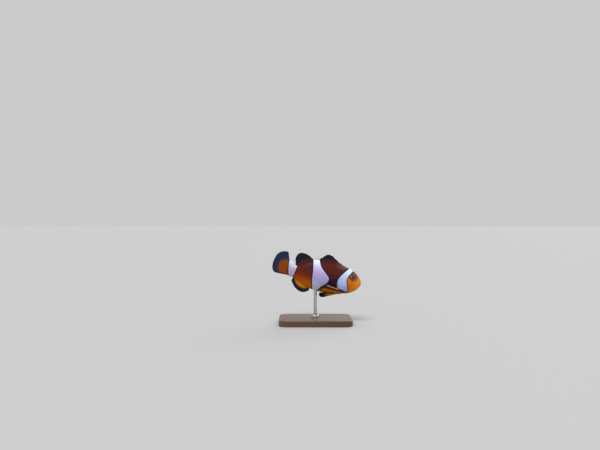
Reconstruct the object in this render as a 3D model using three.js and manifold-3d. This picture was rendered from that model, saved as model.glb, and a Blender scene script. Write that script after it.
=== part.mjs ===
// False clownfish (Amphiprion ocellaris), adult, life size, as a still model held on a plain
// display stand. Millimetres, +Z up, the head towards +X and the fish's right side towards -Y.
// The origin is the centre of the underside of the stand's base.
//
// The fish is modelled straight, in fish space, and posed last. Fish space has the tip of the
// snout at its origin, the body behind it along -X, the left side at +Y and the back at +Z.
import * as THREE from "three";
import { mergeVertices } from "three/addons/utils/BufferGeometryUtils.js";
import Module from "manifold-3d";

const wasm = await Module();
wasm.setup();

// ---- Driving dimensions ----
const TOTAL_LENGTH = 80; // tip of the snout to the end of the tail fin, along the body
const GAP = 0.3; // clear space between pieces that meet
const FIN_EDGE = 0.6; // thickness of a fin at its margin
const FIN_ROOT = 1.3; // thickness of a fin where it leaves the body

// The pose: head down, with the tail swept to the left and lifted a little.
const HEAD_DOWN = THREE.MathUtils.degToRad(13.3);
const TAIL_SWEEP = THREE.MathUtils.degToRad(27);
const TAIL_LIFT = THREE.MathUtils.degToRad(19);
const SWEEP_START = 0.5; // share of the total length where the tail begins to sweep
const LIFT_START = 0.72; // and where it begins to lift

// The stand: a flat base and one upright rod, which enters the belly.
const BASE_LENGTH = 62;
const BASE_WIDTH = 42;
const BASE_THICKNESS = 5;
const BASE_CORNER = 7;
const BASE_CHAMFER = 0.8;
const ROD_RADIUS = 1.4;
const ROD_IN_BODY = 5;
const ROD_IN_BASE = 3;
const COLLAR_RADIUS = 3.4;
const COLLAR_HEIGHT = 2.2;
const ROD_STATION = 0.46; // share of the total length where the rod meets the belly
const BELLY_HEIGHT = 28; // belly over the floor, at the rod

// Body stations. Every figure is a share of the total length: distance from the snout, height
// of the back and depth of the belly from the body's axis, and half the width.
const STATIONS = [
  { place: "snout", at: 0.0, back: 0.036, belly: 0.058, half: 0.028 },
  { place: "eye", at: 0.1, back: 0.107, belly: 0.129, half: 0.059 },
  { place: "gill edge", at: 0.23, back: 0.143, belly: 0.164, half: 0.077 },
  { place: "deepest point", at: 0.4, back: 0.152, belly: 0.188, half: 0.078 },
  { place: "vent", at: 0.56, back: 0.129, belly: 0.171, half: 0.06 },
  { place: "front of the stalk", at: 0.71, back: 0.032, belly: 0.112, half: 0.034 },
  { place: "waist of the stalk", at: 0.77, back: 0.046, belly: 0.106, half: 0.023 },
  { place: "root of the tail fin", at: 0.83, back: 0.076, belly: 0.11, half: 0.011 },
];
const BODY_END = 0.835;
const NOSE_ROUNDING = 0.05; // length over which the snout rounds off
const END_ROUNDING = 0.03; // and over which the stalk does
const WIDEST_LEVEL = 0.54; // share of the depth, from the back down, where the body is widest
const BACK_PINCH = 1.12; // over 1, the section narrows towards the back and the belly

// Head pieces, as shares of the total length.
const GILL_CENTRE = { at: 0.0, level: -0.012 };
const GILL_RADIUS = 0.25; // the gill opening is an arc about the centre above
const COVER_INNER_RADIUS = 0.168;
const COVER_FROM = THREE.MathUtils.degToRad(-47); // lower end of the gill cover, seen from the side
const COVER_TO = THREE.MathUtils.degToRad(24); // and its upper end
const COVER_DEPTH = 1.3; // thickness of a gill cover, in millimetres
const MOUTH_LEVEL = -0.01;
const MOUTH_REACH = 0.046; // the mouth's corner
const MOUTH_DROP = 0.014;
const JAW_BACK = 0.082; // rear of the lower jaw at the chin
const EYE = { at: 0.106, level: 0.044, radius: 0.0335 };
const EYE_TURN = THREE.MathUtils.degToRad(12); // an eye looks this far forward
const EYE_TILT = THREE.MathUtils.degToRad(15); // and this far up
const EYE_SINK = 0.35; // an eye's widest ring lies this deep under the skin, in millimetres
const EYE_DOME = 1.05; // its dome in front of that ring
const EYE_DEPTH = 1.9; // and its depth behind it
const STALK_CUT = 0.735; // where the trunk ends and the tail stalk begins

// Fins, as shares of the total length.
const DORSAL = { front: 0.185, notch: 0.555, rear: 0.725 };
const SPINY_HEIGHT = 0.073;
const SOFT_HEIGHT = 0.114;
const NOTCH_HEIGHT = 0.009;
const ANAL = { front: 0.525, rear: 0.725, height: 0.084 };
const CAUDAL = { root: 0.8, length: 0.2, halfRoot: 0.072, slant: 0.02 };
const CAUDAL_SPREAD = THREE.MathUtils.degToRad(26); // turn of the outer rays from the middle one
const UPPER_FLARE = THREE.MathUtils.degToRad(26); // further turn of the shortest rays, above
const LOWER_FLARE = THREE.MathUtils.degToRad(-6); // and below
const UPPER_ROUNDING = 0.47; // how much shorter the outermost rays are than the middle one, above
const LOWER_ROUNDING = 0.27; // and below
const PECTORAL = { at: 0.228, level: -0.132, halfRoot: 0.023, length: 0.21 };
const PECTORAL_TRAIL = THREE.MathUtils.degToRad(16); // outward turn of a pectoral's last ray
const PELVIC = { at: 0.19, across: 0.016, halfRoot: 0.013, length: 0.26 };

const COLOURS = {
  orange: 0xc77620,
  maroon: 0x582625,
  white: 0xb9c6e0,
  amber: 0x8c5205,
  black: 0x1e2432,
  iris: 0x3a2c28,
  wood: 0x3b2a1f,
  steel: 0xb8babd,
};

// ---- Solids ----
const WELD = 1e-4;

function solidFrom(geometry) {
  const bare = geometry.clone();
  bare.deleteAttribute("normal");
  bare.deleteAttribute("uv");
  const welded = mergeVertices(bare, WELD);
  const vertProperties = new Float32Array(welded.attributes.position.array);
  const triVerts = new Uint32Array(welded.index.array);
  const solid = new wasm.Manifold(new wasm.Mesh({ numProp: 3, vertProperties, triVerts }));
  if (solid.volume() > 0) return solid;
  triVerts.reverse();
  return new wasm.Manifold(new wasm.Mesh({ numProp: 3, vertProperties, triVerts }));
}

function geometryFrom(solid) {
  const mesh = solid.getMesh();
  const geometry = new THREE.BufferGeometry();
  const positions = new Float32Array(mesh.vertProperties);
  geometry.setAttribute("position", new THREE.BufferAttribute(positions, 3));
  geometry.setIndex(new THREE.BufferAttribute(new Uint32Array(mesh.triVerts), 1));
  return geometry;
}

// Moves every vertex of a geometry by a function from one point to another.
function reshape(geometry, place) {
  const position = geometry.attributes.position;
  const point = new THREE.Vector3();
  for (let i = 0; i < position.count; i += 1) {
    const moved = place(point.fromBufferAttribute(position, i).clone());
    position.setXYZ(i, moved.x, moved.y, moved.z);
  }
  return geometry;
}

// ---- The body's form ----
const ALONG = 34;
const AROUND = 30;

// A smooth curve through the stations for one of their figures, at a share of the length.
function stationValue(key, share) {
  const last = STATIONS.length - 1;
  let i = 0;
  while (i < last - 1 && share > STATIONS[i + 1].at) i += 1;
  const slope = (k) => {
    const before = STATIONS[Math.max(k - 1, 0)];
    const after = STATIONS[Math.min(k + 1, last)];
    return (after[key] - before[key]) / (after.at - before.at);
  };
  const width = STATIONS[i + 1].at - STATIONS[i].at;
  const t = (share - STATIONS[i].at) / width;
  const ease = t * t * (3 - 2 * t);
  const bend = width * t * (1 - t) * ((1 - t) * slope(i) - t * slope(i + 1));
  return STATIONS[i][key] * (1 - ease) + STATIONS[i + 1][key] * ease + bend;
}

// Quarter-ellipse easing that rounds off the two ends of the body.
function endRounding(share) {
  const nose = Math.min(share / NOSE_ROUNDING, 1);
  const tail = Math.min((BODY_END - share) / END_ROUNDING, 1);
  const quarter = (t) => Math.sqrt(Math.max(1 - (1 - t) ** 2, 0));
  return quarter(nose) * quarter(tail);
}

// Back, belly, half width and widest level in millimetres, at a share of the length.
function section(share) {
  const round = endRounding(share);
  const back = stationValue("back", share) * round * TOTAL_LENGTH;
  const belly = stationValue("belly", share) * round * TOTAL_LENGTH;
  const half = stationValue("half", share) * round * TOTAL_LENGTH;
  return { back, belly, half, level: back - WIDEST_LEVEL * (back + belly) };
}

// Half the body's width at a share of its length and a height in millimetres.
function halfWidthAt(share, height) {
  const { back, belly, half, level } = section(share);
  const reach = height > level ? back - level : belly + level;
  const rise = Math.min(Math.abs(height - level) / reach, 1);
  return half * Math.sqrt(1 - rise * rise) ** BACK_PINCH;
}

// The whole body, made from a sphere whose poles become the snout and the end of the stalk.
function bodySolid(grow = 0, narrow = 0) {
  const sphere = new THREE.SphereGeometry(1, AROUND, ALONG);
  reshape(sphere, (p) => {
    const along = Math.acos(THREE.MathUtils.clamp(p.y, -1, 1)) / Math.PI;
    const share = BODY_END * along ** 1.35;
    const { back, belly, half, level } = section(share);
    const ring = Math.hypot(p.x, p.z) || 1;
    const up = p.x / ring;
    const left = p.z / ring;
    const isEnd = Math.hypot(p.x, p.z) < WELD ? 0 : 1;
    const reach = up > 0 ? back - level + grow : belly + level + grow;
    const wide = Math.max(half + grow - narrow, WELD);
    const spread = Math.sign(left) * Math.abs(left) ** BACK_PINCH;
    const lengthwise = -share * TOTAL_LENGTH + grow * (1 - 2 * along);
    return new THREE.Vector3(lengthwise, isEnd * wide * spread, level + isEnd * reach * up);
  });
  return solidFrom(sphere);
}

// A prism across the fish, from a side outline of [share from the snout, share of height].
function sidePrism(outline, from, to) {
  const shape = new THREE.Shape(
    outline.map(([at, level]) => new THREE.Vector2(-at * TOTAL_LENGTH, level * TOTAL_LENGTH)),
  );
  const prism = new THREE.ExtrudeGeometry(shape, { depth: to - from, bevelEnabled: false });
  prism.rotateX(Math.PI / 2);
  prism.translate(0, to, 0);
  return solidFrom(prism);
}

const ARC_STEPS = 10;
const REACH_ACROSS = 12; // half the length of every cutter that goes across the fish

// The side outline of a ring sector about the centre of the gill arc.
function gillSector(inner, outer, from, to) {
  const outline = [];
  const corner = (radius, angle) => {
    const at = GILL_CENTRE.at + radius * Math.cos(angle);
    outline.push([at, GILL_CENTRE.level + radius * Math.sin(angle)]);
  };
  for (let i = 0; i <= ARC_STEPS; i += 1) {
    corner(outer, THREE.MathUtils.lerp(from, to, i / ARC_STEPS));
  }
  for (let i = ARC_STEPS; i >= 0; i -= 1) {
    corner(inner, THREE.MathUtils.lerp(from, to, i / ARC_STEPS));
  }
  return outline;
}

// ---- Fins ----

// A thin plate in fish space. root(t) is a point of its root line, ray(t) the vector from there
// to the margin, both for t from 0 to 1, and side the direction of its thickness.
function finPlate({ root, ray, side, along, out, bow = () => 0, rootThickness = FIN_ROOT }) {
  const box = new THREE.BoxGeometry(1, 1, 1, along, out, 1);
  reshape(box, (p) => {
    const t = p.x + 0.5;
    const r = p.y + 0.5;
    const offset = p.z * THREE.MathUtils.lerp(rootThickness, FIN_EDGE, Math.sqrt(r)) + bow(t, r);
    return root(t).addScaledVector(ray(t), r).addScaledVector(side, offset);
  });
  return solidFrom(box);
}

const CORNER = 9; // the higher, the tighter the fins' corners

// A fin's margin turns in towards its first and last ray, by these shares of the ray's length.
function rounded(t, first, last) {
  return 1 - first * (1 - t) ** CORNER - last * t ** CORNER;
}

const ACROSS = new THREE.Vector3(0, 1, 0);
const FIN_SINK = 1.1; // how far a fin's plate starts under the skin, before it is cut to it

function backPoint(share, sink) {
  return new THREE.Vector3(-share * TOTAL_LENGTH, 0, section(share).back - sink);
}

function bellyPoint(share, sink) {
  return new THREE.Vector3(-share * TOTAL_LENGTH, 0, sink - section(share).belly);
}

// Height of the spiny part, low in front, highest at its middle, falling to the notch.
function spinyHeight(t) {
  const rise = THREE.MathUtils.smoothstep(t, 0.02, 0.41) ** 1.8;
  const fall = 1 - THREE.MathUtils.smoothstep(t, 0.47, 0.86);
  return NOTCH_HEIGHT + (SPINY_HEIGHT - NOTCH_HEIGHT) * rise * fall;
}

// Height of the soft part, a rounded lobe that leans back.
function softHeight(t) {
  const lobe = Math.sin(0.68 * Math.PI * t) * rounded(t, 0, 0.34);
  return NOTCH_HEIGHT + (SOFT_HEIGHT - NOTCH_HEIGHT) * lobe;
}

function dorsalPart(from, to, heightAt, leanFrom, leanTo, along) {
  const share = (t) => THREE.MathUtils.lerp(from, to, t);
  return finPlate({
    root: (t) => backPoint(share(t), FIN_SINK),
    ray: (t) => {
      const height = heightAt(t) * TOTAL_LENGTH + FIN_SINK;
      const lean = THREE.MathUtils.lerp(leanFrom, leanTo, t) * height;
      return new THREE.Vector3(-lean, 0, height);
    },
    side: ACROSS,
    along,
    out: 4,
  });
}

function analFin() {
  const share = (t) => THREE.MathUtils.lerp(ANAL.front, ANAL.rear, t);
  return finPlate({
    root: (t) => bellyPoint(share(t), FIN_SINK),
    ray: (t) => {
      const lobe = Math.sin(Math.PI * (0.14 + 0.66 * t)) ** 0.8 * rounded(t, 0.3, 0.3);
      const height = ANAL.height * lobe * TOTAL_LENGTH + FIN_SINK;
      return new THREE.Vector3(-THREE.MathUtils.lerp(0.15, 0.2, t) * height, 0, -height);
    },
    side: ACROSS,
    along: 14,
    out: 4,
  });
}

function caudalFin() {
  const middle = (section(CAUDAL.root).back - section(CAUDAL.root).belly) / 2;
  return finPlate({
    root: (t) => {
      const up = 2 * t - 1;
      const share = CAUDAL.root + up * CAUDAL.slant;
      return new THREE.Vector3(-share * TOTAL_LENGTH, 0, middle + up * CAUDAL.halfRoot * TOTAL_LENGTH);
    },
    ray: (t) => {
      const up = 2 * t - 1;
      const angle = up * CAUDAL_SPREAD + up ** 5 * (up > 0 ? UPPER_FLARE : LOWER_FLARE);
      const rounding = (up > 0 ? UPPER_ROUNDING : LOWER_ROUNDING) * Math.abs(up) ** 3;
      const length = CAUDAL.length * (1 - rounding) * TOTAL_LENGTH;
      return new THREE.Vector3(-length * Math.cos(angle), 0, length * Math.sin(angle));
    },
    side: ACROSS,
    along: 14,
    out: 8,
    rootThickness: 1.5,
  });
}

// A paired fin: a fan of rays from a short root line, turned out from the body's side.
function pairedFin({ root, edge, lead, trail, length, shorten, bow, sign }) {
  const side = new THREE.Vector3().crossVectors(lead, trail).normalize();
  const mirror = new THREE.Vector3(1, sign, 1);
  return finPlate({
    root: (t) => root.clone().addScaledVector(edge, 2 * t - 1).multiply(mirror),
    ray: (t) => {
      const direction = lead.clone().lerp(trail, t).normalize();
      return direction.multiplyScalar(length * shorten(t)).multiply(mirror);
    },
    side: side.multiply(mirror),
    bow,
    along: 10,
    out: 6,
  });
}

function pectoralFin(sign, sweep) {
  const at = PECTORAL.at * TOTAL_LENGTH;
  const level = PECTORAL.level * TOTAL_LENGTH;
  const across = halfWidthAt(PECTORAL.at, level) - 0.9;
  return pairedFin({
    root: new THREE.Vector3(-at, across, level),
    edge: new THREE.Vector3(-0.3, -0.6, -0.95).multiplyScalar(PECTORAL.halfRoot * TOTAL_LENGTH),
    lead: new THREE.Vector3(-Math.cos(sweep), Math.sin(sweep), 0.12),
    trail: new THREE.Vector3(-Math.cos(PECTORAL_TRAIL), Math.sin(PECTORAL_TRAIL), -0.14),
    length: PECTORAL.length * TOTAL_LENGTH,
    shorten: (t) => (0.93 + 0.07 * Math.sin(Math.PI * (t * 0.86 + 0.1))) * rounded(t, 0.08, 0.25),
    bow: (t, r) => 0.7 * r * r,
    sign,
  });
}

function pelvicFin(sign) {
  const at = PELVIC.at * TOTAL_LENGTH;
  const level = 0.2 - section(PELVIC.at).belly;
  return pairedFin({
    root: new THREE.Vector3(-at, PELVIC.across * TOTAL_LENGTH, level),
    edge: new THREE.Vector3(-0.8, -0.3, -0.2).multiplyScalar(PELVIC.halfRoot * TOTAL_LENGTH),
    lead: new THREE.Vector3(-0.95, 0.12, -0.21),
    trail: new THREE.Vector3(-0.93, 0.04, -0.46),
    length: PELVIC.length * TOTAL_LENGTH,
    shorten: (t) => 1 - 0.2 * t - 0.1 * (2 * t - 1) ** 2,
    bow: () => 0,
    sign,
  });
}

// ---- Pose ----
const SPINE_STEPS = 240;
const SPINE_REACH = 1.2; // the spine's curve is worked out this far, in total lengths

// Directions at a share of the length: towards the tail, to the left and to the back.
function spineDirections(share) {
  const sweepShare = THREE.MathUtils.clamp((share - SWEEP_START) / (1 - SWEEP_START), 0, 1);
  const liftShare = THREE.MathUtils.clamp((share - LIFT_START) / (1 - LIFT_START), 0, 1);
  const sweep = TAIL_SWEEP * sweepShare * (2 - sweepShare);
  const lift = TAIL_LIFT * liftShare * (2 - liftShare);
  const tailward = new THREE.Vector3(-Math.cos(HEAD_DOWN), 0, Math.sin(HEAD_DOWN));
  const back = new THREE.Vector3(Math.sin(HEAD_DOWN), 0, Math.cos(HEAD_DOWN));
  const left = ACROSS.clone();
  tailward.applyAxisAngle(back, -sweep);
  left.applyAxisAngle(back, -sweep);
  tailward.applyAxisAngle(left, lift);
  back.applyAxisAngle(left, lift);
  return { tailward, left, back };
}

const bellyAtRod = section(ROD_STATION).belly;
const spine = [new THREE.Vector3()];
for (let i = 0; i < SPINE_STEPS; i += 1) {
  const step = (SPINE_REACH * TOTAL_LENGTH) / SPINE_STEPS;
  const { tailward } = spineDirections(((i + 0.5) / SPINE_STEPS) * SPINE_REACH);
  spine.push(spine[i].clone().addScaledVector(tailward, step));
}

function spinePoint(share) {
  const place = THREE.MathUtils.clamp(share / SPINE_REACH, 0, 0.9999) * SPINE_STEPS;
  const i = Math.floor(place);
  const point = spine[i].clone().lerp(spine[i + 1], place - i);
  return point.addScaledVector(spineDirections(0).tailward, Math.min(share, 0) * TOTAL_LENGTH);
}

// The belly at the rod comes over the origin, at its height above the floor.
const shift = new THREE.Vector3(0, 0, BELLY_HEIGHT)
  .sub(spinePoint(ROD_STATION))
  .addScaledVector(spineDirections(ROD_STATION).back, bellyAtRod);

function pose(point) {
  const share = -point.x / TOTAL_LENGTH;
  const { left, back } = spineDirections(share);
  return spinePoint(share).add(shift).addScaledVector(left, point.y).addScaledVector(back, point.z);
}

// ---- Assembly ----
const group = new THREE.Group();
group.name = "clownfish_on_stand";

function addPiece(name, geometry, colour, roughness, metalness = 0) {
  const faceted = geometry.toNonIndexed();
  faceted.computeVertexNormals();
  const material = new THREE.MeshStandardMaterial({ color: colour, roughness, metalness });
  const mesh = new THREE.Mesh(faceted, material);
  mesh.name = name;
  group.add(mesh);
}

function addPosed(name, solid, colour, roughness = 0.45) {
  addPiece(name, reshape(geometryFrom(solid), pose), colour, roughness);
}

// Sides of the fish: the right one faces -Y.
const SIDES = [
  { side: "right", sign: -1, pectoralSweep: THREE.MathUtils.degToRad(40) },
  { side: "left", sign: 1, pectoralSweep: THREE.MathUtils.degToRad(48) },
];

const body = bodySolid();
const cleared = bodySolid(GAP);
const gapShare = GAP / TOTAL_LENGTH;

// Eyes and their sockets. The left eye's axis points out of the head's side, and the right eye
// mirrors it.
const eyeRadius = EYE.radius * TOTAL_LENGTH;
const eyeAxis = new THREE.Vector3(
  Math.sin(EYE_TURN) * Math.cos(EYE_TILT),
  Math.cos(EYE_TURN) * Math.cos(EYE_TILT),
  Math.sin(EYE_TILT),
);
const eyeCentre = new THREE.Vector3(
  -EYE.at * TOTAL_LENGTH,
  halfWidthAt(EYE.at, EYE.level * TOTAL_LENGTH),
  EYE.level * TOTAL_LENGTH,
).addScaledVector(eyeAxis, -EYE_SINK);
const eyeTurn = new THREE.Quaternion().setFromUnitVectors(ACROSS, eyeAxis);

function eyeball(sign, grow) {
  const ball = new THREE.SphereGeometry(1, 18, 10);
  reshape(ball, (p) => {
    const reach = p.y > 0 ? EYE_DOME : EYE_DEPTH;
    p.multiply(new THREE.Vector3(eyeRadius + grow, reach + grow, eyeRadius + grow));
    return p.applyQuaternion(eyeTurn).add(eyeCentre).multiply(new THREE.Vector3(1, sign, 1));
  });
  return solidFrom(ball);
}

// The head ends at the gill arc. The gill covers and the lower jaw are parted from it.
function headCylinder(grow) {
  const radius = (GILL_RADIUS + grow) * TOTAL_LENGTH;
  const disc = new THREE.CylinderGeometry(radius, radius, 2 * REACH_ACROSS, 72);
  disc.translate(-GILL_CENTRE.at * TOTAL_LENGTH, 0, GILL_CENTRE.level * TOTAL_LENGTH);
  return solidFrom(disc);
}

const core = bodySolid(0, COVER_DEPTH);
const coverOutline = gillSector(COVER_INNER_RADIUS, GILL_RADIUS + 0.05, COVER_FROM, COVER_TO);
const gapAngle = gapShare / COVER_INNER_RADIUS;
const slotOutline = gillSector(
  COVER_INNER_RADIUS - gapShare,
  GILL_RADIUS + 0.05,
  COVER_FROM - gapAngle,
  COVER_TO + gapAngle,
);
const jawOutline = (grow) => [
  [-0.05, MOUTH_LEVEL + grow],
  [MOUTH_REACH + grow, MOUTH_LEVEL - MOUTH_DROP + grow],
  [JAW_BACK + grow, -0.2],
  [-0.05, -0.2],
];

let head = body.intersect(headCylinder(0));
const slimCore = bodySolid(0, COVER_DEPTH + GAP);
const jaw = head.intersect(sidePrism(jawOutline(0), -REACH_ACROSS, REACH_ACROSS));
head = head.subtract(sidePrism(jawOutline(gapShare), -REACH_ACROSS, REACH_ACROSS));
for (const { side, sign } of SIDES) {
  const span = sign > 0 ? [0, REACH_ACROSS] : [-REACH_ACROSS, 0];
  const cover = head.intersect(sidePrism(coverOutline, ...span)).subtract(core);
  head = head.subtract(sidePrism(slotOutline, ...span).subtract(slimCore));
  head = head.subtract(eyeball(sign, GAP));
  addPosed(`gill_cover_${side}`, cover, COLOURS.white);
  addPosed(`eye_${side}`, eyeball(sign, 0), COLOURS.iris, 0.12);
}
addPosed("head", head, COLOURS.orange);
addPosed("lower_jaw", jaw, COLOURS.orange);

// Trunk and tail stalk.
const behindHead = body.subtract(headCylinder(gapShare));
const stalkBlock = (from) => sidePrism(
  [[from, -0.3], [1, -0.3], [1, 0.3], [from, 0.3]],
  -REACH_ACROSS,
  REACH_ACROSS,
);
const stalk = behindHead.intersect(stalkBlock(STALK_CUT));
const trunk = behindHead.subtract(stalkBlock(STALK_CUT - gapShare));
addPosed("tail_stalk", stalk, COLOURS.white);

const rodTop = BELLY_HEIGHT + ROD_IN_BODY;
const rodBottom = BASE_THICKNESS - ROD_IN_BASE;

const ROD_SIDES = 24;

function uprightRod(radius, from, to) {
  const rod = new THREE.CylinderGeometry(radius, radius, to - from, ROD_SIDES);
  rod.rotateX(Math.PI / 2);
  rod.translate(0, 0, (from + to) / 2);
  return solidFrom(rod);
}

const posedTrunk = solidFrom(reshape(geometryFrom(trunk), pose));
const rodHole = uprightRod(ROD_RADIUS + GAP, BASE_THICKNESS, rodTop + GAP);
addPiece("trunk", geometryFrom(posedTrunk.subtract(rodHole)), COLOURS.maroon, 0.45);

// Fins on the middle line.
const halfGap = gapShare / 2;
const spiny = dorsalPart(DORSAL.front, DORSAL.notch - halfGap, spinyHeight, 0.75, 0.35, 22);
const soft = dorsalPart(DORSAL.notch + halfGap, DORSAL.rear, softHeight, 0.3, 0.45, 12);
addPosed("dorsal_fin_spiny", spiny.subtract(cleared), COLOURS.black);
addPosed("dorsal_fin_soft", soft.subtract(cleared), COLOURS.black);
addPosed("anal_fin", analFin().subtract(cleared), COLOURS.black);
addPosed("caudal_fin", caudalFin().subtract(cleared), COLOURS.amber);

// Paired fins.
for (const { side, sign, pectoralSweep } of SIDES) {
  addPosed(`pectoral_fin_${side}`, pectoralFin(sign, pectoralSweep).subtract(cleared), COLOURS.amber);
  addPosed(`pelvic_fin_${side}`, pelvicFin(sign).subtract(cleared), COLOURS.amber);
}

// ---- Stand ----
function roundedPlate() {
  const x = BASE_LENGTH / 2 - BASE_CHAMFER;
  const y = BASE_WIDTH / 2 - BASE_CHAMFER;
  const r = BASE_CORNER - BASE_CHAMFER;
  const outline = new THREE.Shape();
  outline.moveTo(x, y - r);
  outline.absarc(x - r, y - r, r, 0, Math.PI / 2, false);
  outline.absarc(r - x, y - r, r, Math.PI / 2, Math.PI, false);
  outline.absarc(r - x, r - y, r, Math.PI, 1.5 * Math.PI, false);
  outline.absarc(x - r, r - y, r, 1.5 * Math.PI, 2 * Math.PI, false);
  const plate = new THREE.ExtrudeGeometry(outline, {
    depth: BASE_THICKNESS - 2 * BASE_CHAMFER,
    bevelThickness: BASE_CHAMFER,
    bevelSize: BASE_CHAMFER,
    bevelSegments: 1,
    curveSegments: 6,
  });
  plate.translate(0, 0, BASE_CHAMFER);
  return solidFrom(plate);
}

const rodSocket = uprightRod(ROD_RADIUS + GAP, rodBottom - GAP, BASE_THICKNESS + 1);
addPiece("stand_base", geometryFrom(roundedPlate().subtract(rodSocket)), COLOURS.wood, 0.5);
addPiece("stand_rod", geometryFrom(uprightRod(ROD_RADIUS, rodBottom, rodTop)), COLOURS.steel, 0.3, 1);

// A turned collar that stands on the base around the rod.
const collarFloor = BASE_THICKNESS + GAP;
const collarInner = ROD_RADIUS + GAP;
const collarTop = collarFloor + COLLAR_HEIGHT;
const collarEase = 0.6;
const collar = new THREE.LatheGeometry(
  [
    new THREE.Vector2(collarInner, collarFloor),
    new THREE.Vector2(COLLAR_RADIUS, collarFloor),
    new THREE.Vector2(COLLAR_RADIUS, collarTop - collarEase),
    new THREE.Vector2(COLLAR_RADIUS - collarEase, collarTop),
    new THREE.Vector2(collarInner, collarTop),
    new THREE.Vector2(collarInner, collarFloor),
  ],
  24,
);
collar.rotateX(Math.PI / 2);
addPiece("stand_collar", geometryFrom(solidFrom(collar)), COLOURS.steel, 0.3, 1);

export default group;
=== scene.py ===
import math

import bmesh
import bpy
import numpy as np
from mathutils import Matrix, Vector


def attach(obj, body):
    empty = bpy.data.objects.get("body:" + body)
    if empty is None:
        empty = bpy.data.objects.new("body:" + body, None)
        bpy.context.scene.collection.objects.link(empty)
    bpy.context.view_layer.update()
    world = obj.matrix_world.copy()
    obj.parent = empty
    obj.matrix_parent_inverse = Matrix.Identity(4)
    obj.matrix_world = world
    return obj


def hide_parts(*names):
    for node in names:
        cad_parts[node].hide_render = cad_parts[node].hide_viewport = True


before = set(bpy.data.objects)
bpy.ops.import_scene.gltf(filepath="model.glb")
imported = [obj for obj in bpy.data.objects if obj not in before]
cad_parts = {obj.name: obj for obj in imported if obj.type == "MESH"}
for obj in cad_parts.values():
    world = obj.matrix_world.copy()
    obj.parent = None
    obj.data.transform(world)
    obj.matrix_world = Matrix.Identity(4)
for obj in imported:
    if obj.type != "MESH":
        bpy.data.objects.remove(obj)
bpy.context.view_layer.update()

# False clownfish (Amphiprion ocellaris) of the dark variety: an adult at life size, as a painted
# museum model on a plain display stand. The fish is shaped straight, in fish space, and posed
# last. Fish space is in millimetres, with the tip of the snout at its origin, the body behind it
# along -X, the left side at +Y and the back at +Z. Share is a distance from the snout as a share
# of the total length.
METRE = 0.001  # a millimetre of fish space in the scene's metres

# ---- Driving dimensions ----
TOTAL_LENGTH = 80.0
COAT_DEPTH = 0.16  # the skin lies this far inside the fish's outline, and the scales fill it

HEAD_DOWN = math.radians(13.3)
TAIL_SWEEP = math.radians(27.0)
TAIL_LIFT = math.radians(19.0)
SWEEP_START = 0.5
LIFT_START = 0.72
ROD_STATION = 0.46
BELLY_HEIGHT = 28.0
ROD_RADIUS = 1.4
ROD_CLEARANCE = 0.9  # the scales stop this far from the rod
ROD_REACH = 8.0  # and scales further than this above the belly are clear of it

# Body stations: share from the snout, then height of the back, depth of the belly and half the
# width, all as shares of the total length.
STATIONS = (
    (0.0, 0.036, 0.058, 0.028),  # snout
    (0.1, 0.107, 0.129, 0.059),  # eye
    (0.23, 0.143, 0.164, 0.077),  # gill edge
    (0.4, 0.152, 0.188, 0.078),  # deepest point
    (0.56, 0.129, 0.171, 0.06),  # vent
    (0.71, 0.032, 0.112, 0.034),  # front of the stalk
    (0.77, 0.046, 0.106, 0.023),  # waist of the stalk
    (0.83, 0.062, 0.11, 0.011),  # root of the tail fin
)
BODY_END = 0.835
NOSE_ROUNDING = 0.05
END_ROUNDING = 0.03
WIDEST_LEVEL = 0.54
BACK_PINCH = 1.12
KEEL_SOFTENING = 0.02  # takes the crease off the middle line of the back and the belly

# Head landmarks, in millimetres of fish space: distance behind the snout, height, radius.
EYE_BEHIND = 0.106 * TOTAL_LENGTH
EYE_HEIGHT = 0.044 * TOTAL_LENGTH
EYE_RADIUS = 0.0335 * TOTAL_LENGTH
EYE_TURN = math.radians(12)  # an eye looks this far forward
EYE_TILT = math.radians(15)  # and this far up
EYE_SINK = 0.35  # its widest ring lies this deep under the skin
EYE_DOME = 1.05  # its dome in front of that ring
EYE_DEPTH = 1.9  # and its depth behind it
PUPIL_DOME, PUPIL_SHARE = 0.1, 0.4  # further dome over the pupil, and its width as a share of the radius
GILL_HEIGHT = -0.012 * TOTAL_LENGTH  # level of the centre of the gill arcs, which lies at the snout
GILL_RADIUS = 0.25 * TOTAL_LENGTH
CHEEK_RADIUS = 14.9  # the edge of the cheek plate, before the gill cover
MOUTH_HEIGHT = -0.8
MOUTH_CORNER = 3.7
MOUTH_DROP = 1.1
NOSTRIL = (4.5, 3.5)
# Where the scales of the face begin: height, then distance behind the snout.
FACE_EDGE = ((-12.0, 8.4), (-7.0, 5.8), (-3.0, 4.6), (0.5, 5.4), (4.0, 7.8), (7.0, 9.0), (11.0, 9.6))


# ---- Curves ----
def lerp(a, b, t):
    """From a where t is 0 to b where t is 1."""
    return a + (b - a) * t


def through(points, x, column=1):
    """A smooth curve through points sorted by their first figure, read at x."""
    table = np.array(points, float)
    at, value = table[:, 0], table[:, column]
    last = len(at) - 1
    before = np.maximum(np.arange(last + 1) - 1, 0)
    after = np.minimum(np.arange(last + 1) + 1, last)
    slope = (value[after] - value[before]) / (at[after] - at[before])
    i = np.searchsorted(at[1:-1], x)
    width = at[i + 1] - at[i]
    t = (x - at[i]) / width
    ease = t * t * (3 - 2 * t)
    bend = width * t * (1 - t) * ((1 - t) * slope[i] - t * slope[i + 1])
    return value[i] * (1 - ease) + value[i + 1] * ease + bend


def rise(x, low, high):
    """0 below low, 1 above high, and a smooth step between them."""
    t = np.clip((x - low) / (high - low), 0, 1)
    return t * t * (3 - 2 * t)


def mound(x, width):
    """A rounded bump of height 1 about zero."""
    return np.exp(-((x / width) ** 2))


EDGE_START, EDGE_END = -0.12, 0.2  # the edge of a plate falls over this stretch


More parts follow.
